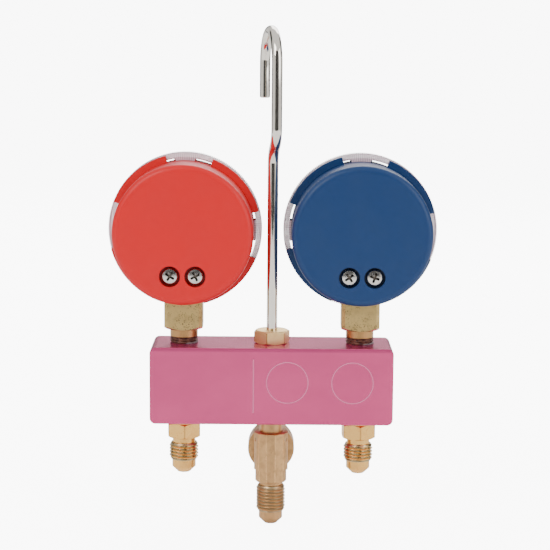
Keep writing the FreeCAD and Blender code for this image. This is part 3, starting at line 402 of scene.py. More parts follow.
def patchy(name, size, spread, first, second, rough, grain=None, detail=4.0, **constants):
    """Two colours that mingle in soft patches, size mm across, over a grain of a size and a depth in mm.

    A grain of the patches' own size rises with them.
    """
    made = Finish(name)
    patches = made.noise(size * MM, detail).ramp(*spread)
    if grain:
        height = patches if grain[0] == size else made.noise(grain[0] * MM)
        made.put(Normal=made.bump(height, grain[1] * MM))
    return made.put(Base_Color=made.colours(patches, first, second), Roughness=rough[0] + patches * rough[1],
                    **constants)


def sealed_thread(look):
    """The stems' thread in dark reddish brown: painted shade near the block and a painted reflection of the
    pink block.
    """
    return patchy("sealed_thread", 1.1, (0.4, 0.65), (0.17, 0.075, 0.05), (0.07, 0.03, 0.025), (0.3, 0.25),
                  (0.3, 0.02), Metallic=0.55)


def dried_sealant(look):
    """Dried grey sealant with a greasy sheen."""
    return patchy("dried_sealant", 0.6, (0.35, 0.7), (0.2, 0.17, 0.18), (0.09, 0.06, 0.065), (0.35, 0.2),
                  (0.6, 0.04))


def chrome_wire(look):
    """Polished chrome plate over drawn wire, with faint waviness and dust."""
    made = Finish("chrome_wire")
    wave = made.noise(5 * MM, 2.0, (1, 1, 3))
    dust = made.noise(0.9 * MM, 3.0).ramp(0.62, 0.8)
    return made.put(
        Base_Color=made.colours(dust * 0.3, look.chrome, (0.55, 0.55, 0.55)),
        Metallic=1.0,
        Roughness=0.05 + dust * 0.1,
        Normal=made.bump(wave, 0.012 * MM))


def moulded(name, colour, rough):
    """Satin moulded plastic: orange peel, faint flow clouds, handling scuffs and painted shade in the
    recesses round the case screws.
    """
    made = Finish(name)
    cloud = made.noise(14 * MM, 3.0).ramp(0.3, 0.75)
    peel = made.noise(0.55 * MM, 2.0)
    scuff = made.noise(0.5 * MM, 4.0, (9, 1, 2)).ramp(0.66, 0.82)
    skin = made.colours(cloud * 0.45 + scuff * 0.2, colour, times(colour, 0.9, 0.008))
    return made.put(
        # Painted shade: the plastic darker in the recesses round the case screws.
        Base_Color=made.colours(made.screw_recesses(), skin, times(colour, 0.5)),
        Roughness=rough + peel * 0.05 + scuff * 0.12,
        Specular_IOR_Level=0.3,
        Normal=made.bump(peel, 0.01 * MM))


def red_plastic(look):
    return moulded("red_plastic", look.red, 0.34)


def blue_plastic(look):
    return moulded("blue_plastic", look.blue, 0.34)


def clear_plastic(look):
    """Clear moulded plastic: thin in the window, milky and pinkish grey in the skirt, with painted light on
    its ribs and painted shade between them.
    """
    made = Finish("clear_plastic")
    window_y = COVER_HIGH.y - look.window_depth
    skirt = 1.0 - made.y.ramp(window_y - 0.4 * MM, window_y + 0.4 * MM)
    streak = made.noise(2.5 * MM, 3.0).ramp(0.3, 0.8)
    # Painted light and shade: the skirt's tint is lighter on the ribs and darker between them.
    ribs = made.rib_stripes(look.rib_count)
    tint = made.colours(ribs, times(look.skirt, 0.66), times(look.skirt, 1.2))
    return made.put(
        Base_Color=made.colours(skirt, (0.6, 0.64, 0.65), tint),
        Roughness=0.07 + skirt * 0.16 + streak * 0.03,
        IOR=1.49,
        Alpha=0.016 + skirt * (0.87 + streak * 0.08))


def clear_glass(look):
    """The sight glass: clear, faintly green, almost without colour."""
    made = Finish("clear_glass")
    smear = made.noise(1.6 * MM, 3.0).ramp(0.55, 0.8)
    return made.put(
        Base_Color=made.colours(smear, (0.86, 0.95, 0.91), (0.8, 0.86, 0.83)),
        Roughness=0.03 + smear * 0.08,
        Alpha=0.22 + smear * 0.05)


def black_rubber(look):
    """Plain black rubber with a dusty bloom."""
    return patchy("black_rubber", 1.2, (0.45, 0.8), (0.018, 0.018, 0.019), (0.039, 0.039, 0.0405),
                  (0.62, 0.15), (0.2, 0.01))


def white_seal(look):
    """White sealing plastic, a little waxy, and grey where it was handled."""
    return patchy("white_seal", 0.8, (0.5, 0.8), (0.8, 0.79, 0.76), (0.572, 0.556, 0.532), (0.45, 0.2),
                  (0.35, 0.02))


def nickel_steel(look):
    """Nickel plated steel with a driver's scratches and painted shade in the cross recesses."""
    made = Finish("nickel_steel")
    scratch = made.noise(0.12 * MM, 4.0, (1, 1, 9)).ramp(0.5, 0.8)
    grime = made.noise(0.8 * MM, 3.0).ramp(0.55, 0.8)
    plate = made.colours(grime * 0.6, look.nickel, (0.3, 0.26, 0.22))
    return made.put(
        # Painted shade: the screws' cross recesses are dark.
        Base_Color=made.colours(made.driver_recesses(), plate, (0.13, 0.11, 0.09)),
        Metallic=1.0,
        Roughness=0.2 + scratch * 0.16 + grime * 0.14,
        Normal=made.bump(scratch, 0.008 * MM))


def sheet_metal(name, colour, rough):
    """Plain stamped or drawn metal with a fine grain."""
    made = Finish(name)
    tone = made.noise(2.5 * MM, 4.0).ramp(0.35, 0.75)
    grain = made.noise(0.1 * MM, 3.0, (6, 1, 1))
    return made.put(
        Base_Color=made.colours(tone * 0.5, colour, times(colour, 0.7)),
        Metallic=1.0,
        Roughness=rough + grain * 0.15,
        Normal=made.bump(grain, 0.006 * MM))


def tube_bronze(look):
    return sheet_metal("tube_bronze", (0.6, 0.33, 0.16), 0.3)


def movement_brass(look):
    return sheet_metal("movement_brass", (0.76, 0.56, 0.26), 0.26)


def dial_white(look):
    """White baked enamel on the dial plate."""
    return patchy("dial_white", 5, (0.35, 0.8), (0.86, 0.86, 0.84), (0.8, 0.8, 0.77), (0.42, 0.06),
                  (0.3, 0.004), detail=3.0)


def enamel(name, colour):
    """Thin printed or brushed enamel of one colour, with a worn sheen."""
    return patchy(name, 0.7, (0.5, 0.85), colour, times(colour, 0.9, 0.015), (0.4, 0.12), detail=3.0)


def pointer_black(look):
    return enamel("pointer_black", (0.016, 0.016, 0.017))


SLOT_FINISHES = (anodised_pink, turned_brass, forged_brass, chrome_wire, red_plastic, blue_plastic,
                 clear_plastic, clear_glass, black_rubber, white_seal, nickel_steel, tube_bronze,
                 movement_brass, dial_white, pointer_black)


def finish_of(slot):
    """The finish made for a slot of the record."""
    return bpy.data.materials[slot + "_finish"]


def linked(name, data):
    """A new object in the scene."""
    obj = bpy.data.objects.new(name, data)
    bpy.context.scene.collection.objects.link(obj)
    return obj


def plain_mesh(obj):
    """The mesh that an object's curve or modifiers give, after which the object goes."""
    bpy.context.view_layer.update()
    mesh = bpy.data.meshes.new_from_object(obj.evaluated_get(bpy.context.evaluated_depsgraph_get()))
    bpy.data.objects.remove(obj)
    return mesh


def placed(mesh, name, body, slot, material=None):
    """A new piece at the origin that rides on a body and takes its finish from a slot."""
    obj = linked(name, mesh)
    if not mesh.materials:
        mesh.materials.append(material or finish_of(slot))
    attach(obj, body)
    return obj


def shaded(bm, name, sharp=math.radians(32)):
    """A mesh from a bmesh, smooth but for its sharp edges, with its faces turned outwards."""
    bmesh.ops.recalc_face_normals(bm, faces=bm.faces)
    for face in bm.faces:
        face.smooth = True
    for edge in bm.edges:
        edge.smooth = len(edge.link_faces) == 2 and edge.calc_face_angle() < sharp
    mesh = bpy.data.meshes.new(name)
    bm.to_mesh(mesh)
    bm.free()
    return mesh


def add_skin(bm, rings, closed=False, caps=2):
    """Quads from ring to ring of points. The last meets the first if closed, or else flat caps end them."""
    rows = [[bm.verts.new(point) for point in ring] for ring in rings]
    count = len(rows[0])
    for row, after in zip(rows, rows[1:] + rows[:1] if closed else rows[1:]):
        for k in range(count):
            n = (k + 1) % count
            bm.faces.new((row[k], row[n], after[n], after[k]))
    if not closed:
        for row in (rows[0], rows[-1])[:caps]:
            bm.faces.new(row)


def thread_depth(phase):
    """How deep a sharp thread is at a share of its pitch: 0 on the crest, 1 at the root."""
    across = abs(2 * (phase % 1.0) - 1)
    return min(1.0, max(0.0, (across - 0.12) / 0.76))


def evenly(first, last, count):
    """Evenly spaced values from first to last."""
    return [first + (last - first) * i / count for i in range(count + 1)]


def polar(radius, turn, z=0.0, x=0.0):
    """A point at a radius and an angle about the upright line through x, at a height."""
    return Vector((x + radius * math.cos(turn), radius * math.sin(turn), z))


def plain_ring(radius, z, count, x=0.0):
    """One round ring at a height."""
    return [polar(radius, 2 * math.pi * k / count, z, x) for k in range(count)]


def screw_rings(radius, low, high, pitch, depth, x, count, chamfer):
    """Rings down a screw thread whose ends are chamfered to its root."""
    rings = []
    for z in evenly(high, low, max(8, round((high - low) / pitch * 10))):
        limit = radius - depth + min(z - low, high - z) * depth / chamfer
        ring = []
        for k in range(count):
            groove = thread_depth((z - high) / pitch + k / count)
            ring.append(polar(min(radius - depth * groove, limit), 2 * math.pi * k / count, z, x))
        rings.append(ring)
    return rings


def merged_copy(node):
    """A bmesh of a CAD node with its loose triangles joined."""
    bm = bmesh.new()
    bm.from_mesh(NODES[node].data)
    bmesh.ops.remove_doubles(bm, verts=bm.verts, dist=0.001 * MM)
    return bm


def cut_below(bm, z):
    """Removes what lies below a height and closes the round wall that is left open."""
    geometry = bm.verts[:] + bm.edges[:] + bm.faces[:]
    bmesh.ops.bisect_plane(bm, geom=geometry, plane_co=(0, 0, z), plane_no=(0, 0, 1), clear_inner=True)
    rims = [edge for edge in bm.edges if edge.is_boundary]
    bmesh.ops.bridge_loops(bm, edges=rims)


def add_flare(bm, x, top, low, tip, fit):
    """Adds a flare end: thread, nose, cone and bore, from the relief groove down."""
    count, gap, chamfer, rounding = 96, 0.05 * MM, 0.2 * MM, 0.1 * MM
    nose_end = tip + fit.nose_radius - fit.tip_radius
    rings = [plain_ring(fit.groove_radius, top, count, x)]
    rings += screw_rings(fit.thread_radius, low, top - fit.lead, fit.pitch, fit.thread_depth, x, count,
                         fit.thread_chamfer)
    rings += [plain_ring(radius, z, count, x) for radius, z in (
        (fit.nose_radius, low - gap),
        (fit.nose_radius, nose_end),
        (fit.nose_radius - 0.6 * chamfer, nose_end - chamfer),
        (fit.tip_radius + rounding, tip + rounding / 2),
        (fit.tip_radius, tip),
        (fit.bore_radius, tip),
        (fit.bore_radius, top),
    )]
    add_skin(bm, rings, closed=True)


def sized(name, description, mm):
    """A length in millimetres that a user may change."""
    return FloatProperty(name=name, description=description, subtype="DISTANCE", default=mm * MM, precision=5)


def turned(name, description, degrees):
    """An angle in degrees that a user may change."""
    return FloatProperty(name=name, description=description, subtype="ANGLE", default=math.radians(degrees))


def tinted(name, description, default):
    """A colour that a user may change."""
    return FloatVectorProperty(name=name, description=description, subtype="COLOR", default=default)


class ManifoldFinishes(bpy.types.PropertyGroup):
    """Colours of the finishes."""
    anodised: tinted("Anodised", "Dye of the block", (0.70, 0.085, 0.235))
    brass: tinted("Turned brass", "Bright brass of the fittings", (0.92, 0.54, 0.16))
    forged: tinted("Forged brass", "Dull brass of the centre fitting", (0.64, 0.38, 0.165))
    stem: tinted("Stem brass", "Yellow brass of the gauge stems", (0.62, 0.44, 0.175))
    chrome: tinted("Chrome", "Plating of the hook", (0.88, 0.83, 0.74))
    nickel: tinted("Nickel", "Plating of the screws", (0.74, 0.71, 0.66))
    red: tinted("Red", "High side plastic", (0.64, 0.006, 0.0095))
    blue: tinted("Blue", "Low side plastic", (0.007, 0.036, 0.125))
    skirt: tinted("Cover skirt", "Tint of the clear skirt", (0.72, 0.54, 0.60))
    body_sides: IntProperty(name="Facets", description="Facets of the forged centre fitting", default=12)
    rib_count: IntProperty(name="Ribs", description="Grip ribs round each cover", default=248)
    window_depth: sized("Window depth", "Depth of the clear window from the front", 2.2)


class ManifoldFittings(bpy.types.PropertyGroup):
    """Sizes of the hose fittings' flare ends."""
    thread_radius: sized("Thread radius", "Outer radius of the flare thread", 5.54)
    pitch: sized("Pitch", "Pitch of the flare thread", 1.27)
    thread_depth: sized("Thread depth", "Depth of the flare thread", 0.68)
    thread_chamfer: sized("Thread chamfer", "Length of the chamfer at a thread's end", 1.1)
    lead: sized("Lead", "Plain groove above the thread", 0.15)
    groove_radius: sized("Groove radius", "Radius of the relief groove", 4.3)
    nose_radius: sized("Nose radius", "Radius of the plain nose", 4.5)
    tip_radius: sized("Tip radius", "Radius of the flare's tip", 2.3)
    bore_radius: sized("Bore radius", "Radius of the bore", 2.0)
    stem_radius: sized("Stem thread radius", "Outer radius of the gauge stems' thread", 5.3)
    stem_pitch: sized("Stem pitch", "Pitch of the gauge stems' thread", 0.94)
    stem_thread: sized("Stem thread length", "Length of stem thread above the block", 2.6)


class ManifoldHook(bpy.types.PropertyGroup):
    """Sizes of the bent wire hook."""
    wire_radius: sized("Wire radius", "Radius of the wire", 2.0)
    loop_radius: sized("Loop radius", "Radius of the loop's middle line", 12.0)
    leg_length: sized("Leg", "Straight leg between crank and loop", 24.0)
    crank_height: sized("Crank height", "Height of the crank", 13.0)
    crank_offset: sized("Crank offset", "How far the crank carries the leg aside", 6.5)
    tip_length: sized("Tip", "Straight end below the loop", 13.4)
    head_radius: sized("Head radius", "Radius of the head inside the block", 4.3)
    head_length: sized("Head length", "Length of that head", 1.6)
    turn: turned("Turn", "How far the hook is turned at rest", 11)


class ManifoldGauges(bpy.types.PropertyGroup):
    """Sizes of what is printed and moulded on the gauges."""
    rib_height: sized("Rib height", "How far a rib stands out", 0.28)
    rib_length: sized("Rib length", "Length of a rib", 8.0)
    rim_width: sized("Rim ribs", "Length of the ribs across the skirt's back edge", 1.9)
    scale_radius: sized("Scale radius", "Outer radius of the printed scale", 22.4)
    tick_length: sized("Tick length", "Length of a long mark", 3.0)
    number_size: sized("Number size", "Height of the numbers' font", 3.6)
    ink: sized("Ink thickness", "Thickness of the print", 0.03)


class ManifoldStage(bpy.types.PropertyGroup):
    """The studio."""
    lens: FloatProperty(name="Lens", description="Focal length in millimetres", default=110.5)
    camera_place: FloatVectorProperty(name="Camera", description="Where the camera stands", subtype="XYZ",
                                      default=(0.00102, -0.629608, 0.182869), precision=6)
    pitch_down: turned("Pitch", "How far the camera looks down", 8.3)
    roll: turned("Roll", "How far the camera leans", 0.45)
    floor: tinted("Floor", "Colour of the floor", (0.9, 0.9, 0.9))
    world: FloatProperty(name="World", description="Strength of the surrounding light", default=1.0)
    horizon: FloatProperty(name="Horizon", description="Brightness at the horizon against that overhead",
                           default=0.6)
    glow: FloatProperty(name="Glow", description="How much the floor that the camera sees shines by itself",
                        default=8.0)


class MANIFOLD_OT_finishes(bpy.types.Operator):
    """Makes the finishes and gives them to the CAD nodes"""
    bl_idname = "manifold.finishes"
    bl_label = "Finishes"

    def execute(self, context):
        look = context.scene.manifold_finishes
        stems = stem_brass(look)
        for maker in SLOT_FINISHES + (sealed_thread, dried_sealant):
            maker(look).name = maker.__name__ + "_finish"
        for name, node in NODES.items():
            material = stems if name.endswith("gauge_socket") else finish_of(SLOT_OF[name])
            node.data.materials.clear()
            node.data.materials.append(material)
        return {"FINISHED"}


class MANIFOLD_OT_hose_fittings(bpy.types.Operator):
    """Cuts real threads on the three flare ends"""
    bl_idname = "manifold.hose_fittings"
    bl_label = "Hose fittings"

    def execute(self, context):
        fit = context.scene.manifold_fittings
        for node, at, tip in flare_places():
            top = at.z + THREAD_LENGTHS[node] + 0.1 * MM
            bm = merged_copy(node)
            cut_below(bm, top)
            add_flare(bm, at.x, top, at.z, tip, fit)
            piece = placed(shaded(bm, node + "_threaded"), node + "_threaded", ROOT, SLOT_OF[node])
            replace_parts(piece, node)
        return {"FINISHED"}


def hook_path(hook, low, top):
    """Places (across, up, radius) along the hook's middle line, from its head to its tip."""
    wire, loop, aside = hook.wire_radius, hook.loop_radius, hook.crank_offset
    bend = (aside ** 2 + hook.crank_height ** 2) / (4 * aside)
    swing = math.asin(hook.crank_height / 2 / bend)
    loop_z = top - wire - loop
    crank_high = loop_z - hook.leg_length
    crank_low = crank_high - hook.crank_height
    shoulder = low + hook.head_length
    far, tip, rounding = 2 * loop - aside, loop_z - hook.tip_length, 0.2 * wire
    line = [(0.0, z) for z in evenly(shoulder, crank_low, 16)]
    line += [(bend * (math.cos(a) - 1), crank_low + bend * math.sin(a)) for a in evenly(0, swing, 12)[1:]]
    line += [(bend * (1 - math.cos(a)) - aside, crank_high - bend * math.sin(a))
             for a in evenly(swing, 0, 12)[1:]]
    line += [(-aside, z) for z in evenly(crank_high, loop_z, 6)[1:]]
    line += [(loop * (1 - math.cos(a)) - aside, loop_z + loop * math.sin(a))
             for a in evenly(0, math.pi, 48)[1:]]
    line += [(far, z) for z in evenly(loop_z, tip + rounding, 4)[1:]]
    path = [(0.0, low, hook.head_radius), (0.0, shoulder, hook.head_radius)]
    path += [(across, up, wire) for across, up in line]
    return path + [(far, tip, wire - rounding)]


class MANIFOLD_OT_hook(bpy.types.Operator):
    """Sweeps the smooth wire of the hanging hook"""
    bl_idname = "manifold.hook"
    bl_label = "Hook"

    def execute(self, context):
        hook = context.scene.manifold_hook
        low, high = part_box("hanging_hook")
        path = hook_path(hook, low.z, high.z)
        rings = []
        for i, (across, up, radius) in enumerate(path):
            before, after = path[max(i - 1, 0)], path[min(i + 1, len(path) - 1)]
            along = Vector((after[0] - before[0], 0, after[1] - before[1])).normalized()
            if i < 4:
                along = Vector((0, 0, 1))
            side = Vector((along.z, 0, -along.x))
            rings.append([Vector((across, radius * math.sin(a), up)) + side * radius * math.cos(a)
                          for a in evenly(0, 2 * math.pi, 40)[:-1]])
        bm = bmesh.new()
        add_skin(bm, rings)
        mesh = shaded(bm, "hook_wire")
        mesh.transform(Matrix.Rotation(math.pi / 2 + hook.turn, 4, "Z"))
        piece = placed(mesh, "hook_wire", "hook", SLOT_OF["hanging_hook"])
        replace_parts(piece, "hanging_hook")
        return {"FINISHED"}


class MANIFOLD_OT_stem_threads(bpy.types.Operator):
    """Adds the gauge stems' visible thread and the sealant at the block"""
    bl_idname = "manifold.stem_threads"
    bl_label = "Stem threads"

    def execute(self, context):
        fit = context.scene.manifold_fittings
        count, gap = 72, 0.02 * MM
        inner, depth, chamfer = 4.6 * MM, 0.36 * MM, 0.3 * MM
        for side in SIDES:
            x = middle(side + "_gauge_socket").x
            low, high = BLOCK_HIGH.z + gap, BLOCK_HIGH.z + fit.stem_thread - 1.5 * gap
            rings = screw_rings(fit.stem_radius, low, high, fit.stem_pitch, depth, x, count, chamfer)
            rings += [plain_ring(inner, z, count, x) for z in (low, high)]
            bm = bmesh.new()
            add_skin(bm, rings, closed=True)
            name = side + "_stem_thread"
            # Painted shade and reflection: the thread's dark reddish brown.
            placed(shaded(bm, name), name, ROOT, "turned_brass", finish_of("sealed_thread"))
            self.sealant(side, x)
        return {"FINISHED"}

    def sealant(self, side, x):
        """A short lumpy smear of dried sealant squeezed out between the stem and the block."""
        sections = []
        radius, width, rise, height = 5.2 * MM, 0.3 * MM, 0.25 * MM, 0.42 * MM
        for share in evenly(0, 1, 36):
            turn = math.radians(-80 + 95 * share)
            lumps = 1 + 0.25 * math.sin(9 * turn) + 0.15 * math.sin(23 * turn)
            fat = max(math.sin(math.pi * share) ** 0.5 * lumps, 0.05)
            sections.append([polar(radius + width * fat * math.cos(a), turn,
                                   BLOCK_HIGH.z + max(rise + height * fat * math.sin(a), 0.01 * MM), x)
                             for a in evenly(0, 2 * math.pi, 10)[:-1]])
        bm = bmesh.new()
        add_skin(bm, sections)
        name = side + "_stem_sealant"
        placed(shaded(bm, name, math.pi), name, ROOT, "turned_brass", finish_of("dried_sealant"))


def new_tree(name, inputs):
    """A geometry tree with named inputs, each (name, kind, default), and one geometry output."""
    tree = bpy.data.node_groups.new(name, "GeometryNodeTree")
    tree.interface.new_socket("Geometry", in_out="OUTPUT", socket_type="NodeSocketGeometry")
    for label, kind, default in inputs:
        socket = tree.interface.new_socket(label, in_out="INPUT", socket_type="NodeSocket" + kind)
        if default is not None:
            socket.default_value = default
    entry = tree.nodes.new("NodeGroupInput")
    return tree, {label: Value(tree, entry.outputs[label]) for label, kind, default in inputs}


def close_tree(tree, points, piece, turn, material):
    """Ends a tree: the piece on each point, turned about Z, then made real and given the material."""
    spin = add_node(tree, "ShaderNodeCombineXYZ", inputs={2: turn})
    copies = add_node(tree, "GeometryNodeInstanceOnPoints", inputs={
        "Points": points, "Instance": piece, "Rotation": spin.outputs[0]})
    real = add_node(tree, "GeometryNodeRealizeInstances", inputs={0: copies.outputs[0]})
    painted = add_node(tree, "GeometryNodeSetMaterial", inputs={0: real.outputs[0], "Material": material})
    leave = tree.nodes.new("NodeGroupOutput")
    tree.links.new(painted.outputs[0], leave.inputs[0])
    return tree


def grown(tree, values, place):
    """The plain mesh that a tree makes with the given input values, moved by a matrix."""
    holder = linked("holder", bpy.data.meshes.new("holder"))
    modifier = holder.modifiers.new("grow", "NODES")
    modifier.node_group = tree
    for item in tree.interface.items_tree:
        if item.in_out == "INPUT" and item.name in values:
            modifier[item.identifier] = values[item.name]
    mesh = plain_mesh(holder)
    for face in mesh.polygons:
        face.material_index = 0
    mesh.transform(place)
    mesh.materials.clear()
    return mesh


def turned_to_front(centre):
    """A matrix that stands a flat drawing up to face the dial's reader, at a centre."""
    upright = Matrix.Rotation(math.pi / 2, 4, "X")
    return Matrix.Translation(centre) @ Matrix.Rotation(math.pi, 4, "Z") @ upright


def ring_of_blocks_tree(name, material):
    """A tree that sets blocks along an arc: number, radius, first angle, step, and the block's size."""
    tree, ports = new_tree(name, [("Count", "Int", 8), ("Radius", "Float", 0.01), ("First", "Float", 0.0),
                                  ("Step", "Float", 0.1), ("Size", "Vector", None)])
    index = Value(tree, add_node(tree, "GeometryNodeInputIndex").outputs[0])
    turn = ports["First"] + index * ports["Step"]
    spot = add_node(tree, "ShaderNodeCombineXYZ", inputs={
        0: turn.math("COSINE") * ports["Radius"], 1: turn.math("SINE") * ports["Radius"]})
    points = add_node(tree, "GeometryNodePoints", inputs={
        "Count": ports["Count"], "Position": spot.outputs[0]})
    block = add_node(tree, "GeometryNodeMeshCube", inputs={"Size": ports["Size"]})
    return close_tree(tree, points.outputs[0], block.outputs[0], turn, material)


def blocks(tree, place, count, radius, size, first=0.0, step=0.0):
    """The plain mesh of blocks along an arc of a drawing that a matrix moves."""
    return grown(tree, {"Count": count, "Radius": radius, "First": first, "Step": step, "Size": size}, place)


class MANIFOLD_OT_cover_ribs(bpy.types.Operator):
    """Adds the fine grip ribs round each clear cover"""
    bl_idname = "manifold.cover_ribs"
    bl_label = "Cover ribs"

    def execute(self, context):
        sizes = context.scene.manifold_gauges
        tree = ring_of_blocks_tree("Cover ribs", finish_of("clear_plastic"))
        count = context.scene.manifold_finishes.rib_count
        step = 2 * math.pi / count
        width = COVER_RADIUS * step * 0.45
        rows = (  # the height of each row's middle, its radius and the size of one rib
            (COVER_LOW.y + 0.1 * MM + sizes.rib_length / 2, COVER_RADIUS - 0.6 * sizes.rib_height,
             (1.2 * sizes.rib_height, width, sizes.rib_length)),
            (COVER_LOW.y, COVER_RADIUS - sizes.rim_width / 2, (sizes.rim_width, width, 4 * sizes.ink)),
        )
        for side in SIDES:
            centre = GAUGE_CENTRES[side].copy()
            self.slim_cover(side, centre, COVER_RADIUS - sizes.rib_height)
            meshes = []
            for y, radius, size in rows:
                centre.y = y
                meshes.append(blocks(tree, turned_to_front(centre), count, radius, size, step=step))
            name = side + "_cover_ribs"
            placed(joined_mesh(name, meshes), name, side + "_cover", "clear_plastic")
        return {"FINISHED"}

    def slim_cover(self, side, centre, reach):
        """The clear cover with its skirt drawn in, so that the ribs' crests lie where its wall lay."""
        node = side + "_gauge_cover"
        bm = merged_copy(node)
        for vert in bm.verts:
            across, up = vert.co.x - centre.x, vert.co.z - centre.z
            away = math.hypot(across, up)
            if away > reach:
                vert.co.x = centre.x + across * reach / away
                vert.co.z = centre.z + up * reach / away
        piece = placed(shaded(bm, node + "_clear"), node + "_clear", side + "_cover", "clear_plastic")
        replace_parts(piece, node)


def cross_recess_screw(name, radius, height, shank, length):
    """A cross-slotted pan-head screw along +Z: its head's underside at the origin, its top at -height."""
    profile = [(radius * 0.55, -height), (radius * 0.85, -height * 0.86), (radius, -height * 0.55),
               (radius, 0.0), (shank, 0.0), (shank, length)]
    mesh = lathed(name, profile, 48)
    for turn in (0.0, math.pi / 2):
        wing = bmesh.new()
        for vert in bmesh.ops.create_cube(wing, size=1.0)["verts"]:
            deep = vert.co.z > 0
            reach = radius * (0.3 if deep else 0.7)
            wide = radius * (0.09 if deep else 0.15)
            vert.co = Vector((math.copysign(reach, vert.co.x), math.copysign(wide, vert.co.y),
                              -height * 0.15 if deep else -height * 1.25))
        bmesh.ops.rotate(wing, verts=wing.verts, matrix=Matrix.Rotation(turn, 3, "Z"))
        mesh = carved(name, mesh, shaded(wing, name + "_wing"))
    return mesh


def slotted_screw(name, radius, height, shank, length):
    """A cheese-head screw along +Z with one straight slot across its top."""
    profile = [(radius * 0.9, -height), (radius, -height * 0.8), (radius, 0.0), (shank, 0.0), (shank, length)]
    head = lathed(name, profile, 40)
    cutter = bmesh.new()
    for vert in bmesh.ops.create_cube(cutter, size=1.0)["verts"]:
        vert.co = Vector((vert.co.x * radius * 3, vert.co.y * radius * 0.28,
                          vert.co.z * height * 0.9 - height))
    return carved(name, head, shaded(cutter, name + "_cutter"))


def lathed(name, profile, count):
    """A closed mesh turned about Z from (radius, z) pairs, whose ends are flat."""
    bm = bmesh.new()
    add_skin(bm, [plain_ring(radius, z, count) for radius, z in profile])
    return shaded(bm, name)


def carved(name, mesh, cutter):
    """A mesh with another cut out of it."""
    body, tool = linked(name, mesh), linked(name + "_cut", cutter)
    modifier = body.modifiers.new("carve", "BOOLEAN")
    modifier.object = tool
    modifier.operation = "DIFFERENCE"
    modifier.solver = "EXACT"
    bm = bmesh.new()
    bm.from_mesh(plain_mesh(body))
    bpy.data.objects.remove(tool)
    return shaded(bm, name)


def screw_row_tree(name, material):
    """A tree that sets copies of an object in a row: number, step between them and how each one is turned."""
    tree, ports = new_tree(name, [("Count", "Int", 2), ("Step", "Vector", None), ("Piece", "Object", None),
                                  ("Spin", "Float", 0.0)])
    line = add_node(tree, "GeometryNodeMeshLine", inputs={"Count": ports["Count"], "Offset": ports["Step"]})
    piece = add_node(tree, "GeometryNodeObjectInfo", inputs={"Object": ports["Piece"]})
    index = Value(tree, add_node(tree, "GeometryNodeInputIndex").outputs[0])
    turn = (index + 1.0) * ports["Spin"]
    return close_tree(tree, line.outputs[0], piece.outputs["Geometry"], turn, material)


def screw_piece(name, node, body, tree, mesh, count, step, spin, place):
    """A row of screws in place of a CAD node's own."""
    source = linked(name + "_source", mesh)
    made = grown(tree, {"Count": count, "Step": step, "Piece": source, "Spin": spin}, place)
    bpy.data.objects.remove(source)
    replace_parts(placed(made, name, body, SLOT_OF[node]), node)


class MANIFOLD_OT_screws(bpy.types.Operator):
    """Sets the cross-slotted case and lever screws and the slotted dial screws"""
    bl_idname = "manifold.screws"
    bl_label = "Screws"

    def execute(self, context):
        tree = screw_row_tree("Screw row", finish_of("nickel_steel"))
        case_screw = cross_recess_screw("case_screw", 3.1 * MM, 2.1 * MM, 1.5 * MM, 6.0 * MM)
        dial_screw = slotted_screw("dial_screw", 1.6 * MM, 0.8 * MM, 0.8 * MM, 3.9 * MM)
        lever_screw = cross_recess_screw("lever_screw", 3.0 * MM, 1.8 * MM, 1.5 * MM, 6.0 * MM)
        # Each row: node, body, mesh, number, the solid head's radius and height, its way out along Y, turns.
        rows = (
            ("_gauge_case_screws", None, case_screw, 2, 2.9 * MM, 2.1 * MM, -1, (0.55, 0.95)),
            ("_gauge_dial_screws", None, dial_screw, 2, 1.6 * MM, 0.8 * MM, 1, (0.6, 0.6)),
            ("_valve_lever_screw", "_valve", lever_screw, 1, 3.0 * MM, 1.8 * MM, 1, (0.4, 0.4)),
        )
        for which, side in enumerate(SIDES):
            for ending, body, mesh, count, radius, height, out, spins in rows:
                node = side + ending
                low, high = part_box(node)
                pitch = (high.x - low.x - 2 * radius) * (count - 1)
                y = (high.y if out > 0 else low.y) - out * height
                first = Vector(((low.x + high.x - pitch) / 2, y, (low.z + high.z) / 2))
                place = Matrix.Translation(first) @ Matrix.Rotation(out * math.pi / 2, 4, "X")
                screw_piece(node + "_slotted", node, side + body if body else ROOT, tree, mesh, count,
                            (pitch, 0, 0), spins[which], place)
        return {"FINISHED"}


def arc_band(name, inner, outer, first, last, thickness):
    """A flat band along an arc, from angle to angle, with a thickness along Z."""
    steps = max(12, round(abs(last - first) / math.radians(3)))
    whole = abs(last - first) > 2 * math.pi - 0.001
    sections = [[polar(inner, a), polar(outer, a), polar(outer, a, thickness), polar(inner, a, thickness)]
                for a in evenly(first, last, steps)[:steps if whole else None]]
    bm = bmesh.new()
    add_skin(bm, sections, closed=whole)
    return shaded(bm, name, math.radians(40))


def number_mesh(text, size, thickness, radius, turn, place):
    """A number as a thin mesh, centred at a radius and an angle of a drawing that a matrix moves."""
    curve = bpy.data.curves.new("number", "FONT")
    curve.body = text
    curve.size = size
    curve.align_x = curve.align_y = "CENTER"
    curve.extrude = thickness / 2
    curve.offset = size * 0.018
    curve.resolution_u = 3
    mesh = plain_mesh(linked("number", curve))
    mesh.materials.clear()
    mesh.transform(Matrix.Translation(polar(radius, turn, thickness / 2)))
    mesh.transform(place)
    return mesh


def joined_mesh(name, meshes):
    """One mesh from several."""
    bm = bmesh.new()
    for mesh in meshes:
        bm.from_mesh(mesh)
    made = bpy.data.meshes.new(name)
    bm.to_mesh(made)
    bm.free()
    return made


SCALE_START = math.radians(225)
DIAL_SCALES = {
    "high": {"travel": 270, "full": 500, "below": 0.0, "short": 10, "long": 50, "numbers": 100,
             "band": (0.72, 0.05, 0.035)},
    "low": {"travel": 246, "full": 120, "below": 24.0, "short": 2, "long": 10, "numbers": 20,
            "band": (0.03, 0.11, 0.42)},
}


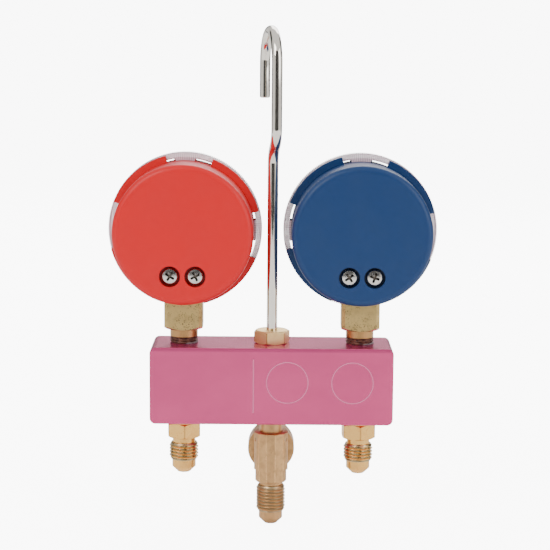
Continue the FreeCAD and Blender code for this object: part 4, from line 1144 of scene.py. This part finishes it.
class MANIFOLD_OT_dials(bpy.types.Operator):
    """Prints the scales and their plain numbers on both dials"""
    bl_idname = "manifold.dials"
    bl_label = "Dials"

    def execute(self, context):
        sizes = context.scene.manifold_gauges
        tree = ring_of_blocks_tree("Scale marks", finish_of("pointer_black"))
        long_mark, size, ink = sizes.tick_length, sizes.number_size, sizes.ink
        gap, per_digit = 1.5 * MM, 0.8 * MM
        for side, scale in DIAL_SCALES.items():
            centre = GAUGE_CENTRES[side].copy()
            centre.y = DIAL_FACE_Y
            place = turned_to_front(centre)
            zero = SCALE_START - math.radians(scale["below"])
            per_unit = math.radians(scale["travel"]) / scale["full"]
            marks = []
            for every, length, width in ((scale["short"], long_mark / 2, 0.22 * MM),
                                         (scale["long"], long_mark, 0.45 * MM)):
                marks.append(blocks(tree, place, scale["full"] // every + 1, sizes.scale_radius - length / 2,
                                    (length, width, ink), zero, -per_unit * every))
            inside = sizes.scale_radius - long_mark
            for value in range(0, scale["full"] + 1, scale["numbers"]):
                text = str(value)
                marks.append(number_mesh(text, size, ink, inside - gap - per_digit * len(text),
                                         zero - per_unit * value, place))
            if scale["below"]:
                step = math.radians(scale["below"]) / 3
                marks.append(blocks(tree, place, 4, sizes.scale_radius - long_mark / 2,
                                    (long_mark, 0.3 * MM, ink), zero, step))
                marks.append(number_mesh("30", size * 0.8, ink, inside - gap - 1.5 * per_digit,
                                         zero + 3 * step + math.radians(1.5), place))
            placed(joined_mesh(side + "_scale", marks), side + "_dial_print", ROOT, "pointer_black")
            self.bands(side, scale, sizes, place, zero)
        return {"FINISHED"}

    def bands(self, side, scale, sizes, place, zero):
        """The coloured arc outside the scale and a thin ring inside it."""
        last = zero - math.radians(scale["travel"])
        width, gap = 0.6 * MM, 0.3 * MM
        ring_inner, ring_outer = 9.2 * MM, 9.5 * MM
        inner = sizes.scale_radius + gap
        bands = [arc_band("band", inner, inner + width, zero, last, sizes.ink),
                 arc_band("ring", ring_inner, ring_outer, 0, 2 * math.pi, sizes.ink)]
        name = side + "_dial_bands"
        mesh = joined_mesh(name, bands)
        mesh.transform(place)
        placed(mesh, name, ROOT, SLOT_OF[side + "_gauge_case"], enamel(side + "_dial_ink", scale["band"]))


class MANIFOLD_OT_levers(bpy.types.Operator):
    """Adds the moulded grip ribs on the valve levers"""
    bl_idname = "manifold.levers"
    bl_label = "Lever grips"

    def execute(self, context):
        grip = (0.9 * MM, 5.4 * MM, 1.1 * MM)
        from_end, pitch, below_hub = 4.6 * MM, 1.9 * MM, 2.4 * MM
        for side, way in SIDES.items():
            slot = SLOT_OF[side + "_valve_lever"]
            low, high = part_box(side + "_valve_lever")
            tree = ring_of_blocks_tree(side + " lever grips", finish_of(slot))
            end = high.x if way > 0 else low.x
            meshes = []
            for i in range(6):
                spot = Vector((end - way * (from_end + i * pitch), high.y - below_hub, (low.z + high.z) / 2))
                meshes.append(blocks(tree, turned_to_front(spot), 1, 0.0, grip))
            name = side + "_lever_grips"
            placed(joined_mesh(name, meshes), name, side + "_valve", slot)
        return {"FINISHED"}


class MANIFOLD_OT_block_marks(bpy.types.Operator):
    """Adds the plain engraved line and two plain rings on the block's back"""
    bl_idname = "manifold.block_marks"
    bl_label = "Block marks"

    def execute(self, context):
        thickness, below_top = 0.006 * MM, 12.9 * MM
        inner, outer = 7.55 * MM, 7.9 * MM
        meshes = []
        for x in (5.9 * MM, 30.2 * MM):
            mesh = arc_band("ring", inner, outer, 0, 2 * math.pi, thickness)
            mesh.transform(Matrix.Translation((x, 0, 0)))
            meshes.append(mesh)
        line = bmesh.new()
        at, size = (-6.75 * MM, -1.4 * MM, thickness / 2), (0.4 * MM, 20.4 * MM, thickness, 1.0)
        bmesh.ops.create_cube(line, size=1.0, matrix=Matrix.Translation(at) @ Matrix.Diagonal(size))
        meshes.append(shaded(line, "line"))
        mesh = joined_mesh("block_marks", meshes)
        mesh.transform(Matrix.Translation((0, BLOCK_LOW.y, BLOCK_HIGH.z - below_top))
                       @ Matrix.Rotation(math.pi / 2, 4, "X"))
        placed(mesh, "block_marks", ROOT, "anodised_pink", enamel("engraving", (0.65, 0.17, 0.31)))
        return {"FINISHED"}


def area_light(name, place, size, power):
    """A square soft light at a place, aimed at the part's middle."""
    light = bpy.data.lights.new(name, "AREA")
    light.size = size
    light.energy = power
    obj = linked(name, light)
    obj.location = place
    obj.rotation_euler = (Vector((0, 0, 0.09)) - Vector(place)).to_track_quat("-Z", "Y").to_euler()


class MANIFOLD_OT_stage(bpy.types.Operator):
    """Builds the pale floor, the soft lights and the camera"""
    bl_idname = "manifold.stage"
    bl_label = "Stage"

    def execute(self, context):
        studio = context.scene.manifold_stage
        self.floors(studio)
        self.dark_cards()
        world = bpy.data.worlds.new("studio")
        context.scene.world = world
        world.use_nodes = True
        background = world.node_tree.nodes["Background"]
        background.inputs["Strength"].default_value = studio.world
        place = add_node(world.node_tree, "ShaderNodeTexCoord")
        apart = add_node(world.node_tree, "ShaderNodeSeparateXYZ", inputs={0: place.outputs["Generated"]})
        lift = Value(world.node_tree, apart.outputs[2]).ramp(-0.1, 0.9)
        sky = lift * (1.0 - studio.horizon) + studio.horizon
        world.node_tree.links.new(sky.socket, background.inputs["Color"])
        area_light("key", (-0.7, -0.8, 0.9), 0.7, 9)
        area_light("fill", (0.9, -0.6, 0.5), 0.8, 5)
        area_light("back", (0.2, 0.9, 0.8), 0.8, 8)
        camera = bpy.data.cameras.new("camera")
        camera.lens = studio.lens
        camera.sensor_width = 36
        obj = linked("camera", camera)
        obj.location = studio.camera_place
        obj.rotation_euler = (Matrix.Rotation(math.pi / 2 - studio.pitch_down, 3, "X")
                              @ Matrix.Rotation(studio.roll, 3, "Z")).to_euler()
        context.scene.camera = obj
        return {"FINISHED"}

    def cove(self, name, level):
        """The mesh of a round floor whose rim curves up into a low wall on every side."""
        flat, bend = 1.5, 0.9
        rings = [plain_ring(flat + bend * math.sin(a), level + bend * (1 - math.cos(a)), 96)
                 for a in evenly(0, math.pi / 2, 12)]
        bm = bmesh.new()
        add_skin(bm, rings, caps=1)
        return shaded(bm, name, math.pi)

    def floors(self, studio):
        """The pale floor that lights the part, and just over it the bright one that the camera sees."""
        gap = 0.02 * MM
        level = cad_low.z - gap
        for name, drop, glow in (("floor", 0.5 * MM, 0.0), ("bright_floor", 0.0, studio.glow)):
            mesh = self.cove(name, level - drop)
            made = Finish(name)
            tone = made.colours(made.noise(0.6, 2.0), studio.floor, times(studio.floor, 0.985))
            mesh.materials.append(made.put(
                Base_Color=tone, Roughness=0.8, Emission_Color=(1, 1, 1, 1), Emission_Strength=glow))
            obj = linked(name, mesh)
            seen = glow > 0
            obj.visible_camera = seen
            obj.visible_diffuse = obj.visible_glossy = obj.visible_shadow = not seen

    def dark_cards(self):
        """Dark panels round the part that only its reflections show."""
        height = 0.86
        cards = (("back_card", -90, 0.85, 1.3, 0.02), ("front_card", 90, 1.3, 1.0, 0.3),
                 ("left_card", 148, 0.9, 0.5, 0.02), ("right_card", 32, 0.9, 0.5, 0.02))
        for name, bearing, distance, width, tone in cards:
            bm = bmesh.new()
            bmesh.ops.create_grid(bm, x_segments=1, y_segments=1, size=0.5)
            mesh = shaded(bm, name)
            mesh.transform(Matrix.Rotation(math.radians(bearing), 4, "Z")
                           @ Matrix.Translation((distance, 0, height / 2))
                           @ Matrix.Rotation(math.pi / 2, 4, "Y")
                           @ Matrix.Diagonal((height, width, 1.0, 1.0)))
            mesh.materials.append(enamel(name, (tone,) * 3))
            obj = linked(name, mesh)
            obj.visible_camera = obj.visible_diffuse = obj.visible_shadow = False


STEPS = (MANIFOLD_OT_finishes, MANIFOLD_OT_hose_fittings, MANIFOLD_OT_hook, MANIFOLD_OT_stem_threads,
         MANIFOLD_OT_cover_ribs, MANIFOLD_OT_screws, MANIFOLD_OT_dials, MANIFOLD_OT_levers,
         MANIFOLD_OT_block_marks, MANIFOLD_OT_stage)


class MANIFOLD_PT_looks(bpy.types.Panel):
    """Lists the manifold's steps"""
    bl_label = "Manifold"
    bl_space_type = "VIEW_3D"
    bl_region_type = "UI"
    bl_category = "Manifold"

    def draw(self, context):
        for step in STEPS:
            self.layout.operator(step.bl_idname)


GROUPS = {
    "manifold_finishes": ManifoldFinishes,
    "manifold_fittings": ManifoldFittings,
    "manifold_hook": ManifoldHook,
    "manifold_gauges": ManifoldGauges,
    "manifold_stage": ManifoldStage,
}
CLASSES = (*GROUPS.values(), *STEPS, MANIFOLD_PT_looks)


def register():
    """Registers the classes and their settings."""
    for one in CLASSES:
        bpy.utils.register_class(one)
    for name, group in GROUPS.items():
        setattr(bpy.types.Scene, name, PointerProperty(type=group))


def unregister():
    """Takes the classes and their settings away."""
    for name in GROUPS:
        delattr(bpy.types.Scene, name)
    for one in reversed(CLASSES):
        bpy.utils.unregister_class(one)


def main():
    """Runs every step in order."""
    register()
    bpy.ops.manifold.finishes()
    bpy.ops.manifold.hose_fittings()
    bpy.ops.manifold.hook()
    bpy.ops.manifold.stem_threads()
    bpy.ops.manifold.cover_ribs()
    bpy.ops.manifold.screws()
    bpy.ops.manifold.dials()
    bpy.ops.manifold.levers()
    bpy.ops.manifold.block_marks()
    bpy.ops.manifold.stage()


if __name__ == "__main__":
    main()
